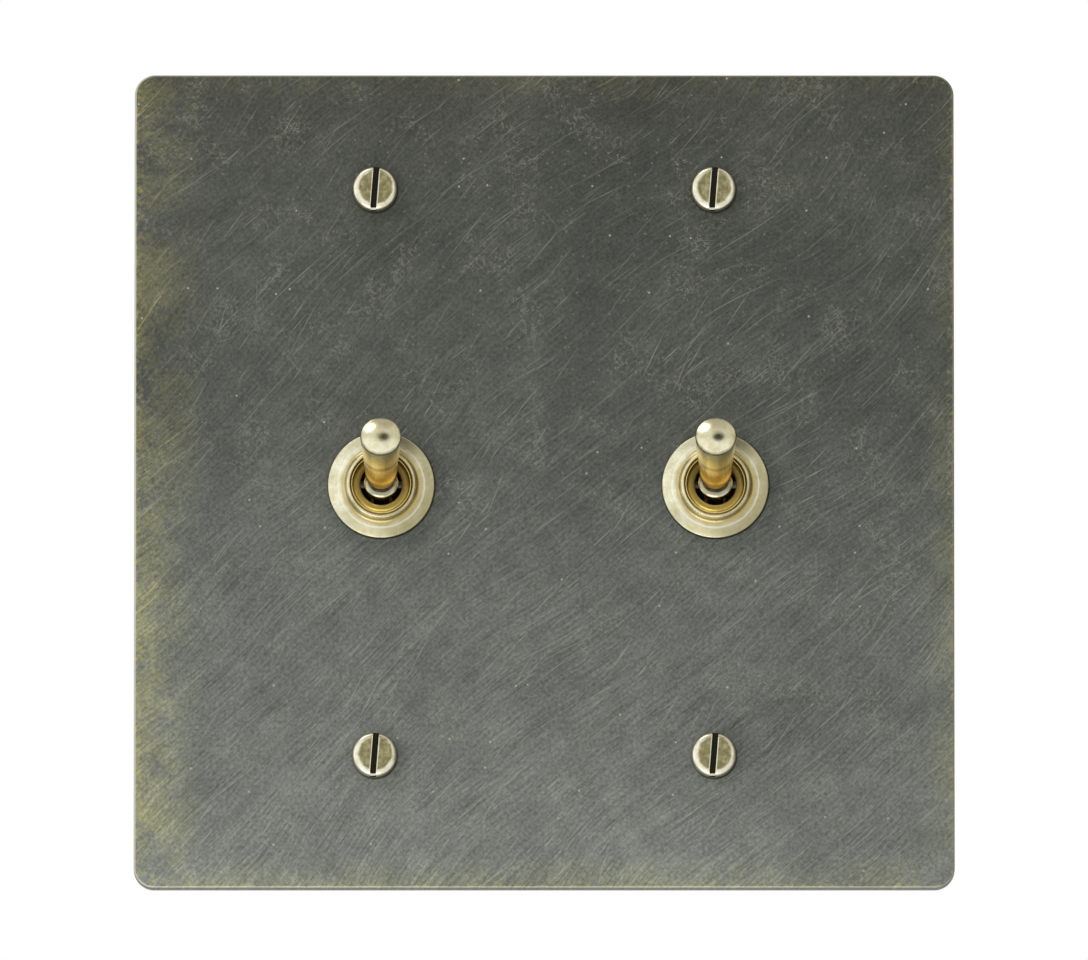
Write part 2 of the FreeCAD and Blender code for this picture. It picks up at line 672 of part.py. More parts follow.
# Common terminal: a folded brass strip with two ears for the rocker pin and a lug on the back
def make_common_terminal(side, x):
    body = new_body(f"{side}_common_terminal")
    ear_in = "(rocker_wide / 2 + ear_gap)"
    ear_out = f"({ear_in} + strip_thick)"
    floor_top = f"({CAVITY_FLOOR} + strip_thick)"
    cradle = [
        (f"-{ear_out}", CAVITY_FLOOR), (ear_out, CAVITY_FLOOR),
        (ear_out, f"{ROCKER_AXIS} + ear_above"), (ear_in, f"{ROCKER_AXIS} + ear_above"),
        (ear_in, floor_top), (f"-{ear_in}", floor_top),
        (f"-{ear_in}", f"{ROCKER_AXIS} + ear_above"), (f"-{ear_out}", f"{ROCKER_AXIS} + ear_above"),
    ]
    pad(body, "cradle", "XZ_Plane", cradle, "-ear_half", "2 * ear_half")
    ear_holes = [("0", ROCKER_AXIS, "rocker_pin_r + pin_fit")]
    bore(body, "ear_holes", "YZ_Plane", ear_holes, ear_out, f"2 * {ear_out}")
    lug = [
        ("-strip_thick / 2", floor_top), ("-strip_thick / 2", LUG_BACK),
        ("-strip_thick / 2 + lug_long", LUG_BACK), ("-strip_thick / 2 + lug_long", CASE_BACK),
        ("strip_thick / 2", CASE_BACK), ("strip_thick / 2", floor_top),
    ]
    pad(body, "lug", "YZ_Plane", lug, "-strip_wide / 2", "strip_wide")
    bore(body, "screw_hole", "XY_Plane", [("0", LUG_SCREWS[0][1], "lug_screw_r + strip_gap")],
         CASE_BACK, "strip_thick")
    place(body, x=x, z="-toggle_drop")


# End terminal: a folded brass strip with a contact button inside and a lug on the back
def make_end_terminal(side, x, end, sign, lug_screw):
    body = new_body(f"{side}_{end}_terminal")
    leg = LEG_PLACE
    under = f"({PAD_TOP} - strip_thick)"
    strip = [
        ("pad_inner", under), (f"{leg} - strip_thick", under),
        (f"{leg} - strip_thick", LUG_BACK), (f"{leg} - strip_thick + lug_long", LUG_BACK),
        (f"{leg} - strip_thick + lug_long", CASE_BACK), (leg, CASE_BACK),
        (leg, PAD_TOP), ("pad_inner", PAD_TOP),
    ]
    if sign:
        strip = [(f"-({across})", height) for across, height in strip]
    pad(body, "strip", "YZ_Plane", strip, "-strip_wide / 2", "strip_wide")
    button = [("0", f"{sign}contact_place", "contact_r")]
    pad_round(body, "button", "XY_Plane", button, PAD_TOP, "contact_high")
    bore(body, "screw_hole", "XY_Plane", [("0", lug_screw, "lug_screw_r + strip_gap")],
         CASE_BACK, "strip_thick")
    place(body, x=x, z="-toggle_drop")


# Terminal screw: a small slotted screw that clamps a wire under its head
def make_lug_screw(side, x, end, y):
    body = new_body(f"{side}_{end}_terminal_screw")
    revolve(body, "turning", [
        ("0", "0"),
        ("lug_screw_head_r", "0"),
        ("lug_screw_head_r", "lug_screw_head_high"),
        ("lug_screw_r", "lug_screw_head_high"),
        ("lug_screw_r", "lug_screw_head_high + lug_screw_reach"),
        ("0", "lug_screw_head_high + lug_screw_reach"),
    ])
    reach = "(lug_screw_head_r * 1.5)"
    slot = rectangle(f"-{reach}", "-lug_slot_wide / 2", reach, "lug_slot_wide / 2")
    pocket(body, "slot", "XY_Plane", slot, "lug_slot_deep", "lug_slot_deep")
    place(body, x=x, y=f"-({LUG_BACK} - lug_screw_head_high)", z=f"-toggle_drop + {y}")


LUG_SCREWS = [
    ("common", "(-strip_thick / 2 + lug_screw_place)"),
    ("upper", f"({LEG_PLACE} - strip_thick + lug_screw_place)"),
    ("lower", f"(-({LEG_PLACE} - strip_thick + lug_screw_place))"),
]
TOGGLES = [("left", "(toggle_shift - toggle_pitch / 2)"), ("right", "(toggle_shift + toggle_pitch / 2)")]
SCREWS = []
for level, z in (("upper", "screw_pitch_up / 2"), ("lower", "-screw_pitch_up / 2")):
    for hand, x in (("left", "-screw_pitch_across / 2"), ("right", "screw_pitch_across / 2")):
        SCREWS.append((f"{level}_{hand}_screw", x, z))

make_face_plate(TOGGLES, SCREWS)
for label, x, z in SCREWS:
    make_box_screw(label, x, z)
for side, x in TOGGLES:
    make_dress_ring(side, x)
    make_bushing(side, x)
    make_pivot_pin(side, x)
    make_lever(side, x)
    make_plunger(side, x)
    make_spring(side, x)
    make_lock_washer(side, x)
    make_back_nut(side, x)
    make_frame(side, x)
    make_insulator(side, x)
    make_case(side, x)
    make_rocker(side, x)
    make_rocker_pin(side, x)
    make_common_terminal(side, x)
    make_end_terminal(side, x, "upper", "", LUG_SCREWS[1][1])
    make_end_terminal(side, x, "lower", "-", LUG_SCREWS[2][1])
    for end, y in LUG_SCREWS:
        make_lug_screw(side, x, end, y)
doc.recompute()

# Every object is checked before a file is written
for item in doc.Objects:
    if "Invalid" in item.State or "Error" in item.State:
        raise ValueError(f"{item.Label} failed: {item.State}")
pieces = [item for item in doc.Objects if item.TypeId in ("PartDesign::Body", "Part::Feature")]
for piece in pieces:
    if piece.Shape.isNull() or not piece.Shape.isValid() or len(piece.Shape.Solids) != 1:
        raise ValueError(f"{piece.Label} is not one valid solid")
os.makedirs("parts", exist_ok=True)
for piece in pieces:
    piece.Shape.exportStep(f"parts/{piece.Label}.step")
print(len(pieces), "pieces")
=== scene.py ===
import json
import math
import bmesh
import bpy
import numpy as np
from mathutils.geometry import delaunay_2d_cdt
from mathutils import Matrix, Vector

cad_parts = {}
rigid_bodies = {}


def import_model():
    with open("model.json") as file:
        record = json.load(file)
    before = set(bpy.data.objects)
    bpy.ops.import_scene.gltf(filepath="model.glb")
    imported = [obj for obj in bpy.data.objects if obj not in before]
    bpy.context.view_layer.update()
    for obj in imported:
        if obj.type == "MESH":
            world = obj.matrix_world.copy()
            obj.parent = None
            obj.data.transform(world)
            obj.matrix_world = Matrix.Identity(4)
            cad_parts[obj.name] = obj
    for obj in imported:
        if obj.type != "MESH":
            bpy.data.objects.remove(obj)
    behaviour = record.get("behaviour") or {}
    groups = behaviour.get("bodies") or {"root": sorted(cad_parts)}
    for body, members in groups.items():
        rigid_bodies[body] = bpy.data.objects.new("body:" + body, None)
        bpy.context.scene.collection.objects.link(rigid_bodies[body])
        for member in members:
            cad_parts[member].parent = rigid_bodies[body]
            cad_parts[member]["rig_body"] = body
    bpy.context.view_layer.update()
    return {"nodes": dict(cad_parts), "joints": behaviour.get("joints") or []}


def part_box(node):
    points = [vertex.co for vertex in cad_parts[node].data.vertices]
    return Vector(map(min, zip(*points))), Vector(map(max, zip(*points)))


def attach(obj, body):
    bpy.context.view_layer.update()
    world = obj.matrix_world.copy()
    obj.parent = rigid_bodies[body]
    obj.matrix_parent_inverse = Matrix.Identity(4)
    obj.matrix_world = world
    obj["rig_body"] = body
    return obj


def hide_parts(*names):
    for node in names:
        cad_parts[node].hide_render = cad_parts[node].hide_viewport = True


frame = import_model()
MM = 0.001

# Face plate
# One square of 3 mm brass sheet, sawn and filed to an eased edge, blackened in a patina bath and then
# rubbed back by hand, so that brass shows through at the edges and in the longest scratches.
plate_low, plate_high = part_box("face_plate")
PLATE_CORNER = 3 * MM
CORNER_STEPS = 17
FRONT_EASE = 0.42 * MM
BACK_EASE = 0.1 * MM
BUSHING_HOLE_R = 4.6 * MM
BUSHING_HOLE_STEPS = 96
SCREW_HOLE_R = 2 * MM
SCREW_HOLE_STEPS = 64
HOLE_EASE = 0.08 * MM
INSIDE_HOLE = 0.999
WELD = 0.0005 * MM
SHARP_EDGE = math.radians(32)
SIDES = ("left", "right")
SCREWS = ("upper_left", "upper_right", "lower_left", "lower_right")


def arc(across, up, radius, start, stop, steps=9):
    """Points (r, h) of a circular arc about (across, up), from one angle in degrees to another."""
    turn = np.radians(np.linspace(start, stop, steps))
    return np.column_stack([across + radius * np.cos(turn), up + radius * np.sin(turn)])


def grid_faces(rows, columns):
    """Quads between the neighbouring rows of a grid whose columns close on themselves."""
    row = np.arange(rows - 1)[:, None]
    column = np.arange(columns)[None, :]
    following = (column + 1) % columns
    corners = [row * columns + column, row * columns + following,
               (row + 1) * columns + following, (row + 1) * columns + column]
    return np.stack(corners, axis=-1).reshape(-1, 4)


def flat_sheet(outline, holes, height):
    """Triangles that fill a flat outline (x, z) and leave its round holes open."""
    loops = [outline] + [loop for loop, _, _ in holes]
    points = np.vstack(loops)
    edges = []
    first = 0
    for loop in loops:
        here = np.arange(len(loop))
        edges += np.column_stack([first + here, first + (here + 1) % len(loop)]).tolist()
        first += len(loop)
    flat, _, faces, *_ = delaunay_2d_cdt(points.tolist(), edges, [], 1, 1e-9)
    flat = np.array([list(point) for point in flat])
    faces = np.array(faces)
    middles = flat[faces].mean(axis=1)
    keep = np.ones(len(faces), bool)
    for _, centre, radius in holes:
        keep &= np.hypot(*(middles - centre).T) > radius * INSIDE_HOLE
    return np.column_stack([flat[:, 0], np.full(len(flat), height), flat[:, 1]]), faces[keep]


def new_piece(name, parts, material, node, body="root"):
    """One closed mesh from parts (points, faces), welded, turned outwards and put on its CAD body."""
    points = np.vstack([part[0] for part in parts])
    faces = []
    first = 0
    for part_points, part_faces in parts:
        faces += (np.asarray(part_faces) + first).tolist()
        first += len(part_points)
    mesh = bpy.data.meshes.new(name)
    mesh.from_pydata(points, [], faces)
    form = bmesh.new()
    form.from_mesh(mesh)
    bmesh.ops.remove_doubles(form, verts=form.verts, dist=WELD)
    bmesh.ops.recalc_face_normals(form, faces=form.faces)
    form.to_mesh(mesh)
    form.free()
    mesh.shade_smooth()
    mesh.set_sharp_from_angle(angle=SHARP_EDGE)
    piece = bpy.data.objects.new(name, mesh)
    bpy.context.scene.collection.objects.link(piece)
    mesh.materials.append(material)
    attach(piece, body)
    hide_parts(node)


def centre_of(node):
    """The middle of a node, across and up the plate."""
    low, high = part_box(node)
    return np.array([(low.x + high.x) / 2, (low.z + high.z) / 2])


def plate_loop(inset):
    """The plate's outline (x, z) at an inset: four quarter arcs joined by straight runs."""
    low = np.array([plate_low.x, plate_low.z]) + PLATE_CORNER
    high = np.array([plate_high.x, plate_high.z]) - PLATE_CORNER
    radius = PLATE_CORNER - inset
    corners = [(high[0], high[1], 0), (low[0], high[1], 90), (low[0], low[1], 180), (high[0], low[1], 270)]
    return np.vstack([arc(x, z, radius, start, start + 90, CORNER_STEPS) for x, z, start in corners])


def edge_wall(loop_at, profile):
    """Surface p(u, v): the outline u at the inset that profile row v gives, at that row's depth."""
    rows = [np.insert(loop_at(inset), 1, depth, axis=1) for inset, depth in profile]
    return np.vstack(rows), grid_faces(len(rows), len(rows[0]))


def make_plate():
    """The wall round the outline, a wall in each hole, and two flat faces that fill what lies between."""
    front, back = plate_low.y, plate_high.y
    ease = arc(FRONT_EASE, front + FRONT_EASE, FRONT_EASE, 270, 180)
    under = arc(BACK_EASE, back - BACK_EASE, BACK_EASE, 180, 90, 4)
    parts = [edge_wall(plate_loop, np.vstack([ease, under]))]
    holes = [(centre_of(f"{side}_dress_ring"), BUSHING_HOLE_R, BUSHING_HOLE_STEPS) for side in SIDES]
    holes += [(centre_of(f"{screw}_screw"), SCREW_HOLE_R, SCREW_HOLE_STEPS) for screw in SCREWS]
    rims = []
    for centre, radius, steps in holes:
        def hole_loop(inset, centre=centre, radius=radius, steps=steps):
            return arc(*centre, radius + inset, 0, 360 - 360 / steps, steps)
        wall = [(HOLE_EASE, front), (0, front + HOLE_EASE), (0, back - HOLE_EASE), (HOLE_EASE, back)]
        parts.append(edge_wall(hole_loop, wall))
        rims.append((hole_loop(HOLE_EASE), centre, radius + HOLE_EASE))
    parts.append(flat_sheet(plate_loop(FRONT_EASE), rims, front))
    parts.append(flat_sheet(plate_loop(BACK_EASE), rims, back))
    return parts


def colour(code):
    """The linear colour that an sRGB hex code stands for."""
    parts = np.array([int(code[place:place + 2], 16) for place in (1, 3, 5)]) / 255
    linear = np.where(parts <= 0.04045, parts / 12.92, ((parts + 0.055) / 1.055) ** 2.4)
    return (*linear.tolist(), 1)


def add(tree, kind, inputs=None, stops=(), **settings):
    """One node with its settings, its ramp's stops and its inputs: values, sockets or other nodes."""
    node = tree.nodes.new(f"ShaderNode{kind}")
    for name, setting in settings.items():
        setattr(node, name, setting)
    for number, (place, code) in enumerate(stops):
        ramp = node.color_ramp.elements
        stop = ramp[number] if number < 2 else ramp.new(place)
        stop.position = place
        stop.color = colour(code)
    for name, source in (inputs or {}).items():
        socket = next(item for item in node.inputs if name in (item.identifier, item.name))
        if isinstance(source, bpy.types.Node):
            source = next(item for item in source.outputs if item.enabled)
        if isinstance(source, bpy.types.NodeSocket):
            tree.links.new(source, socket)
        else:
            socket.default_value = source
    return node


def new_tree(name):
    """A material of that name with an empty node tree."""
    material = bpy.data.materials.new(name)
    material.use_nodes = True
    material.node_tree.nodes.clear()
    return material, material.node_tree


def strokes(tree, place, lean, long, wide, shift):
    """Hair-fine rub marks that lean by an angle from level: noise stretched to their length and width."""
    turned = add(tree, "Mapping", {
        "Vector": place, "Location": (shift, shift, 0), "Rotation": (0, 0, math.radians(lean)),
        "Scale": (long * MM, wide * MM, 1)}, vector_type="TEXTURE")
    grain = add(tree, "TexNoise", {"Vector": turned, "Scale": 1, "Detail": 2, "Roughness": 0.6},
                noise_dimensions="2D")
    return add(tree, "MapRange", {"Value": grain, "From Min": 0.3, "From Max": 0.75})


def scratches(tree, place, lean, long, wide, kept, shift):
    """Separate scratches, pointed at both ends: the middles of stretched cells, and only a share of them."""
    reach = SCRATCH_REACH
    turned = add(tree, "Mapping", {
        "Vector": place, "Location": (shift, shift, 0), "Rotation": (0, 0, math.radians(lean)),
        "Scale": (long * MM / reach, wide * MM / reach, 1)}, vector_type="TEXTURE")
    cell = add(tree, "TexVoronoi", {"Vector": turned, "Scale": 1}, voronoi_dimensions="2D")
    line = add(tree, "MapRange", {
        "Value": cell.outputs["Distance"], "From Min": reach * 0.3, "From Max": reach,
        "To Min": 1, "To Max": 0})
    chosen = add(tree, "MapRange", {"Value": cell.outputs["Color"], "From Min": 1 - kept, "From Max": 1})
    return scaled(tree, line, chosen)


def mixed(tree, factor, below, above):
    """One colour over another by a factor."""
    inputs = {"Factor_Float": factor, "A_Color": below, "B_Color": above}
    return add(tree, "Mix", inputs, data_type="RGBA")


def scaled(tree, value, factor):
    """The product of two values."""
    return add(tree, "Math", {"Value": value, "Value_001": factor}, operation="MULTIPLY")


def highest(tree, values):
    """The greatest of some values."""
    most = values[0]
    for value in values[1:]:
        most = add(tree, "Math", {"Value": most, "Value_001": value}, operation="MAXIMUM")
    return most


# The skin's tones from the plate's bottom edge to its top one, darkening upwards as painted shade, and the
# painted light and shade at the left and right edges
SKIN_TONES_AND_PAINTED_SHADE = ((0, "#818580"), (0.3, "#727671"), (0.6, "#5b5e59"), (1, "#52544e"))
LEFT_PAINTED_LIGHT, RIGHT_PAINTED_SHADE = 1.07, 0.93
# Clouds where the bath took unevenly: size in mm, noise detail and roughness, and how far they shade
CLOUDS = ((26, 4, 0.55, 0.13), (4, 3, 0.6, 0.1), (0.5, 3, 0.8, 0.27))
# Size in mm, detail and roughness of the noise for patches, for grit, for curls and for scuffed places
FIELDS = ((11, 4, 0.7), (0.9, 3, 0.75), (1.5, 3, 0.65), (9, 3, 0.7))
# All marks bend a little: over this length, by up to this much
BEND_LONG, BEND_MOST = 60 * MM, 16 * MM
# Rub marks: lean in degrees, length and width in mm, and the shift that sets a layer apart
RUB_MARKS = ((43, 12, 0.16, 0), (36, 18, 0.2, 0.3), (51, 9, 0.14, 0.6), (40, 30, 0.34, 0.9))
# How far a scratch reaches from the middle of its cell, as a share of the cell
SCRATCH_REACH = 0.07
# Scratches: lean, length and width, the share of them that is kept, and the shift
PALE_SCRATCHES = (
    (45, 6, 0.08, 0.75, 0.31), (39, 9, 0.09, 0.6, 0.77), (52, 7, 0.08, 0.6, 1.13), (34, 12, 0.08, 0.5, 1.71),
    (61, 5, 0.09, 0.5, 2.09), (47, 14, 0.1, 0.3, 2.63), (42, 2.5, 0.1, 0.8, 3.07), (56, 3.5, 0.09, 0.7, 3.31),
    (36, 4, 0.08, 0.8, 3.43), (49, 2, 0.11, 0.7, 3.59), (128, 3, 0.08, 0.12, 3.7),
    (83, 2.5, 0.08, 0.14, 3.91), (12, 2.5, 0.08, 0.12, 4.37))
GOLD_SCRATCHES = ((41, 5, 0.13, 0.95, 4.83), (48, 3, 0.16, 0.95, 5.29), (56, 7, 0.12, 0.95, 5.71))
# Wear inwards from each edge: axis, place and way in, then reach in mm and strength, of haze and of gilt
EDGE_WEAR = (
    ("X", plate_low.x, 1, 10.5, 1, 4.5, 0.62), ("X", plate_high.x, -1, 5, 0.4, 3, 0.62),
    ("Z", plate_low.z, 1, 5, 0.5, 2.4, 0.62), ("Z", plate_high.z, -1, 5, 0.4, 2, 0.5))
OLIVE = (1.85, 1.75, 1.12)
# Specks: distance apart in mm, width as a share of it, the share left out, and colour
SPECKS = ((3.9, 0.05, 0.8, "#cfcdb8"), (1.7, 0.12, 0.72, "#82837a"))
# Round each fitting a fine painted contact shadow, drifted to its lower right
CONTACT_SHADOW_WIDE = 0.22 * MM
CONTACT_SHADOW_DRIFT = 0.06 * MM
CONTACT_SHADOW_MOST = 0.9
# A soft painted shadow beside each fitting, cast to its lower right: node, how far aside it lies, how wide it
# is, and its darkest shade
PAINTED_SHADOWS = [(f"{side}_dress_ring", 1.2 * MM, 2.4 * MM, 0.76) for side in SIDES]
PAINTED_SHADOWS += [(f"{screw}_screw", 0.7 * MM, 1.8 * MM, 0.8) for screw in SCREWS]


# Patinated brass sheet: a dark grey-green oxide skin, satin and finely grained, with hair-fine rub marks at
# about 40 degrees, paler single scratches and scuffs, clouds where the bath took unevenly, and an olive gold
# wear with bare brass at the very edges. Painted shade darkens the skin towards the top and the right edge,
# and painted light pales it at the left. The eased edge is worn paler, with a painted highlight strongest
# where it faces left. Round each fitting's foot lies a painted contact shadow, and below it and to its right
# a soft painted shadow.
def patinated_brass():
    material, tree = new_tree("patinated_brass_sheet")
    place = add(tree, "TexCoord").outputs["Object"]
    parts = add(tree, "SeparateXYZ", {"Vector": place})
    flat = add(tree, "CombineXYZ", {"X": parts.outputs["X"], "Y": parts.outputs["Z"]})
    wander = add(tree, "TexNoise", {"Vector": flat, "Scale": 1 / BEND_LONG, "Detail": 1},
                 noise_dimensions="2D")
    bent = add(tree, "VectorMath", {
        "Vector": wander.outputs["Color"], "Vector_001": (BEND_MOST, BEND_MOST, 0), "Vector_002": flat},
        operation="MULTIPLY_ADD")

    # Painted shade: the skin's tone darkens from the bottom edge towards the top
    height = add(tree, "MapRange", {
        "Value": parts.outputs["Z"], "From Min": plate_low.z, "From Max": plate_high.z})
    skin = add(tree, "ValToRGB", {"Fac": height}, stops=SKIN_TONES_AND_PAINTED_SHADE)
    # Painted light and shade: the skin is paler towards the left edge and darker towards the right; the
    # bath's clouds are multiplied in below
    painted_side_light_and_clouds = add(tree, "MapRange", {
        "Value": parts.outputs["X"], "From Min": plate_low.x, "From Max": plate_high.x,
        "To Min": LEFT_PAINTED_LIGHT, "To Max": RIGHT_PAINTED_SHADE})
    for size, detail, roughness, depth in CLOUDS:
        cloud = add(tree, "TexNoise", {
            "Vector": flat, "Scale": 1 / (size * MM), "Detail": detail, "Roughness": roughness},
            noise_dimensions="2D")
        cloud = add(tree, "MapRange", {"Value": cloud, "From Min": 0.3, "From Max": 0.7,
                                       "To Min": 1 - depth, "To Max": 1 + depth}, clamp=False)
        painted_side_light_and_clouds = scaled(tree, painted_side_light_and_clouds, cloud)
    patches, grit, curl, scuffed = [add(tree, "TexNoise", {
        "Vector": flat, "Scale": 1 / (size * MM), "Detail": detail, "Roughness": roughness},
        noise_dimensions="2D") for size, detail, roughness in FIELDS]
    darkest, palest = [add(tree, "MapRange", {
        "Value": patches, "From Min": 0.36, "From Max": 0.6, "To Min": calm, "To Max": strong})
        for calm, strong in ((0.86, 0.75), (1.14, 1.28))]
    hairs = strokes(tree, bent, *RUB_MARKS[0])
    for mark in RUB_MARKS[1:]:
        hair = strokes(tree, bent, *mark)
        hairs = add(tree, "Math", {"Value": hairs, "Value_001": hair}, operation="ADD")
    hairs = add(tree, "MapRange", {"Value": hairs, "From Min": 0.9, "From Max": 2.9, "To Min": darkest,
                                   "To Max": palest}, clamp=False)
    strength = add(tree, "MapRange", {"Value": height, "From Min": 0.5, "From Max": 0.95,
                                      "To Min": 1.05, "To Max": 0.7})
    hairs = add(tree, "Mix", {"Factor_Float": strength, "A_Float": 1, "B_Float": hairs}, clamp_factor=False)
    skin = add(tree, "VectorMath", {"Vector": skin, "Scale": scaled(tree, painted_side_light_and_clouds, hairs)}, operation="SCALE")

    haze, gilt = [], []
    for axis, edge, inward, haze_reach, haze_most, gilt_reach, gilt_most in EDGE_WEAR:
        for masks, reach, most in ((haze, haze_reach, haze_most), (gilt, gilt_reach, gilt_most)):
            masks.append(add(tree, "MapRange", {
                "Value": parts.outputs[axis], "From Min": edge, "From Max": edge + inward * reach * MM,
                "To Min": most, "To Max": 0}))
    mottled = add(tree, "Math", {"Value": grit, "Value_001": 0.5, "Value_002": patches},
                  operation="MULTIPLY_ADD")
    cover = add(tree, "MapRange", {"Value": mottled, "From Min": 0.6, "From Max": 0.86})
    haze = scaled(tree, highest(tree, haze), cover)
    olive = add(tree, "VectorMath", {"Vector": skin, "Vector_001": OLIVE}, operation="MULTIPLY")
    skin = mixed(tree, haze, skin, olive)
    ragged = add(tree, "Math", {"Value": grit, "Value_001": highest(tree, gilt)}, operation="ADD")
    gilt = add(tree, "MapRange", {"Value": ragged, "From Min": 1.02, "From Max": 1.3})
    skin = mixed(tree, scaled(tree, gilt, 0.6), skin, colour("#b5a66c"))

    cluster = add(tree, "MapRange", {"Value": patches, "From Min": 0.34, "From Max": 0.56, "To Min": 0.5})
    lines = highest(tree, [scratches(tree, bent, *scratch) for scratch in PALE_SCRATCHES])
    calmer = add(tree, "MapRange", {"Value": height, "To Min": 0.76, "To Max": 0.44})
    skin = mixed(tree, scaled(tree, scaled(tree, lines, cluster), calmer), skin, colour("#b2b4a6"))
    lines = highest(tree, [scratches(tree, bent, *scratch) for scratch in GOLD_SCRATCHES])
    skin = mixed(tree, scaled(tree, lines, haze), skin, colour("#c3b684"))

    curl = add(tree, "Math", {"Value": curl, "Value_001": 0.5, "Value_002": 0.016}, operation="COMPARE")
    scuffed = add(tree, "MapRange", {"Value": scuffed, "From Min": 0.52, "From Max": 0.64})
    skin = mixed(tree, scaled(tree, scaled(tree, curl, scuffed), 0.4), skin, colour("#a9aa9a"))
    for apart, size, rare, tint in SPECKS:
        grain = add(tree, "TexVoronoi", {"Vector": flat, "Scale": 1 / (apart * MM)}, voronoi_dimensions="2D")
        spot = add(tree, "MapRange", {
            "Value": grain.outputs["Distance"], "From Min": size * 0.4, "From Max": size,
            "To Min": 0.7, "To Max": 0})
        chosen = add(tree, "Math", {"Value": grain.outputs["Color"], "Value_001": rare},
                     operation="GREATER_THAN")
        skin = mixed(tree, scaled(tree, spot, chosen), skin, colour(tint))

    # The eased edge is painted paler: worn brass, plus a painted highlight that is strongest where the edge
    # faces left, towards the light
    facing = add(tree, "SeparateXYZ", {"Vector": add(tree, "NewGeometry").outputs["Normal"]})
    eased = add(tree, "MapRange", {"Value": facing.outputs["Y"], "From Min": -0.98, "From Max": -0.85})
    edge_share = add(tree, "MapRange", {"Value": facing.outputs["X"], "From Min": 0, "From Max": -0.5,
                                    "To Min": 0.4, "To Max": 0.95})
    skin = mixed(tree, scaled(tree, eased, edge_share), skin, colour("#c6c5b6"))
    side = add(tree, "MapRange", {"Value": facing.outputs["Y"], "From Min": -0.55, "From Max": -0.25})
    skin = mixed(tree, scaled(tree, side, 0.85), skin, colour("#4d4b41"))
    # Each fitting gets a painted contact shadow at its foot and a soft painted shadow beside it, both towards
    # its lower right
    contact_shadows = []
    painted_shadow = 1
    for node, aside, wide, darkest_shade in PAINTED_SHADOWS:
        low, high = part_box(node)
        foot = (high.x - low.x) / 2
        near = []
        for drift, reach, start, stop in ((CONTACT_SHADOW_DRIFT, CONTACT_SHADOW_WIDE, CONTACT_SHADOW_MOST, 0),
                                          (aside, wide, darkest_shade, 1)):
            x, z = centre_of(node) + (drift, -drift)
            away = add(tree, "VectorMath", {"Vector": flat, "Vector_001": (x, z, 0)}, operation="DISTANCE")
            near.append(add(tree, "MapRange", {
                "Value": away.outputs["Value"], "From Min": foot, "From Max": foot + reach,
                "To Min": start, "To Max": stop}))
        contact_shadows.append(near[0])
        painted_shadow = scaled(tree, near[1], painted_shadow)
    # The soft painted shadows beside the fittings darken the skin
    skin = add(tree, "VectorMath", {"Vector": skin, "Scale": painted_shadow}, operation="SCALE")
    # Painted contact shadows round the fittings' feet
    skin = mixed(tree, highest(tree, contact_shadows), skin, colour("#1a1b16"))

    rough = add(tree, "MapRange", {
        "Value": hairs, "From Min": 0.72, "From Max": 1.3, "To Min": 0.52, "To Max": 0.4})
    shader = add(tree, "BsdfPrincipled", {"Base Color": skin, "Metallic": 0.8, "Roughness": rough})
    add(tree, "OutputMaterial", {"Surface": shader})
    return material


new_piece("plate_sheet", make_plate(), patinated_brass(), "face_plate")


# Box screws
# Four slotted cheese-head brass screws that hold the plate to its wall box. They were dipped with the
# plate: the face stays olive grey, and the round edge and the slot's lips are rubbed bright.
HEAD_HIGH = 2.4 * MM
HEAD_ROUND = 0.72 * MM
HEAD_ROWS = 49
FACE_COLUMNS = 30
SLOT_WIDE = 0.84 * MM
SLOT_DEEP = 1.1 * MM
SLOT_LIP = 0.08 * MM
SLOT_LEAN = 4.5
NECK_R = 1.55 * MM
SHANK_R = 1.75 * MM
THREAD_PITCH = 0.7 * MM
THREAD_DEEP = 0.2 * MM
THREAD_ROWS = 260
THREAD_SLOPE, THREAD_FLAT = 1.3, 0.15
POINT_LONG = 0.6 * MM
POINT_IN = 0.5 * MM


def stand(points, x, z, y=0, tip=0):
    """Points (right, up, out) set on the plate: out is the way out of the wall, tipped up by an angle."""
    tip = math.radians(tip)
    axes = np.array([(1, 0, 0), (0, math.sin(tip), math.cos(tip)), (0, -math.cos(tip), math.sin(tip))])
    return points @ axes + np.array([x, y, z])


def lathe(profile, steps=128):
    """Surface of revolution p(u, v) = (r(v) cos u, r(v) sin u, h(v)), with u once round the axis."""
    turn = np.linspace(0, 2 * np.pi, steps, endpoint=False)
    r, h = profile[:, 0, None], profile[:, 1, None]
    points = np.stack([r * np.cos(turn), r * np.sin(turn), h + 0 * turn], axis=-1)
    return points.reshape(-1, 3), grid_faces(len(profile), steps)


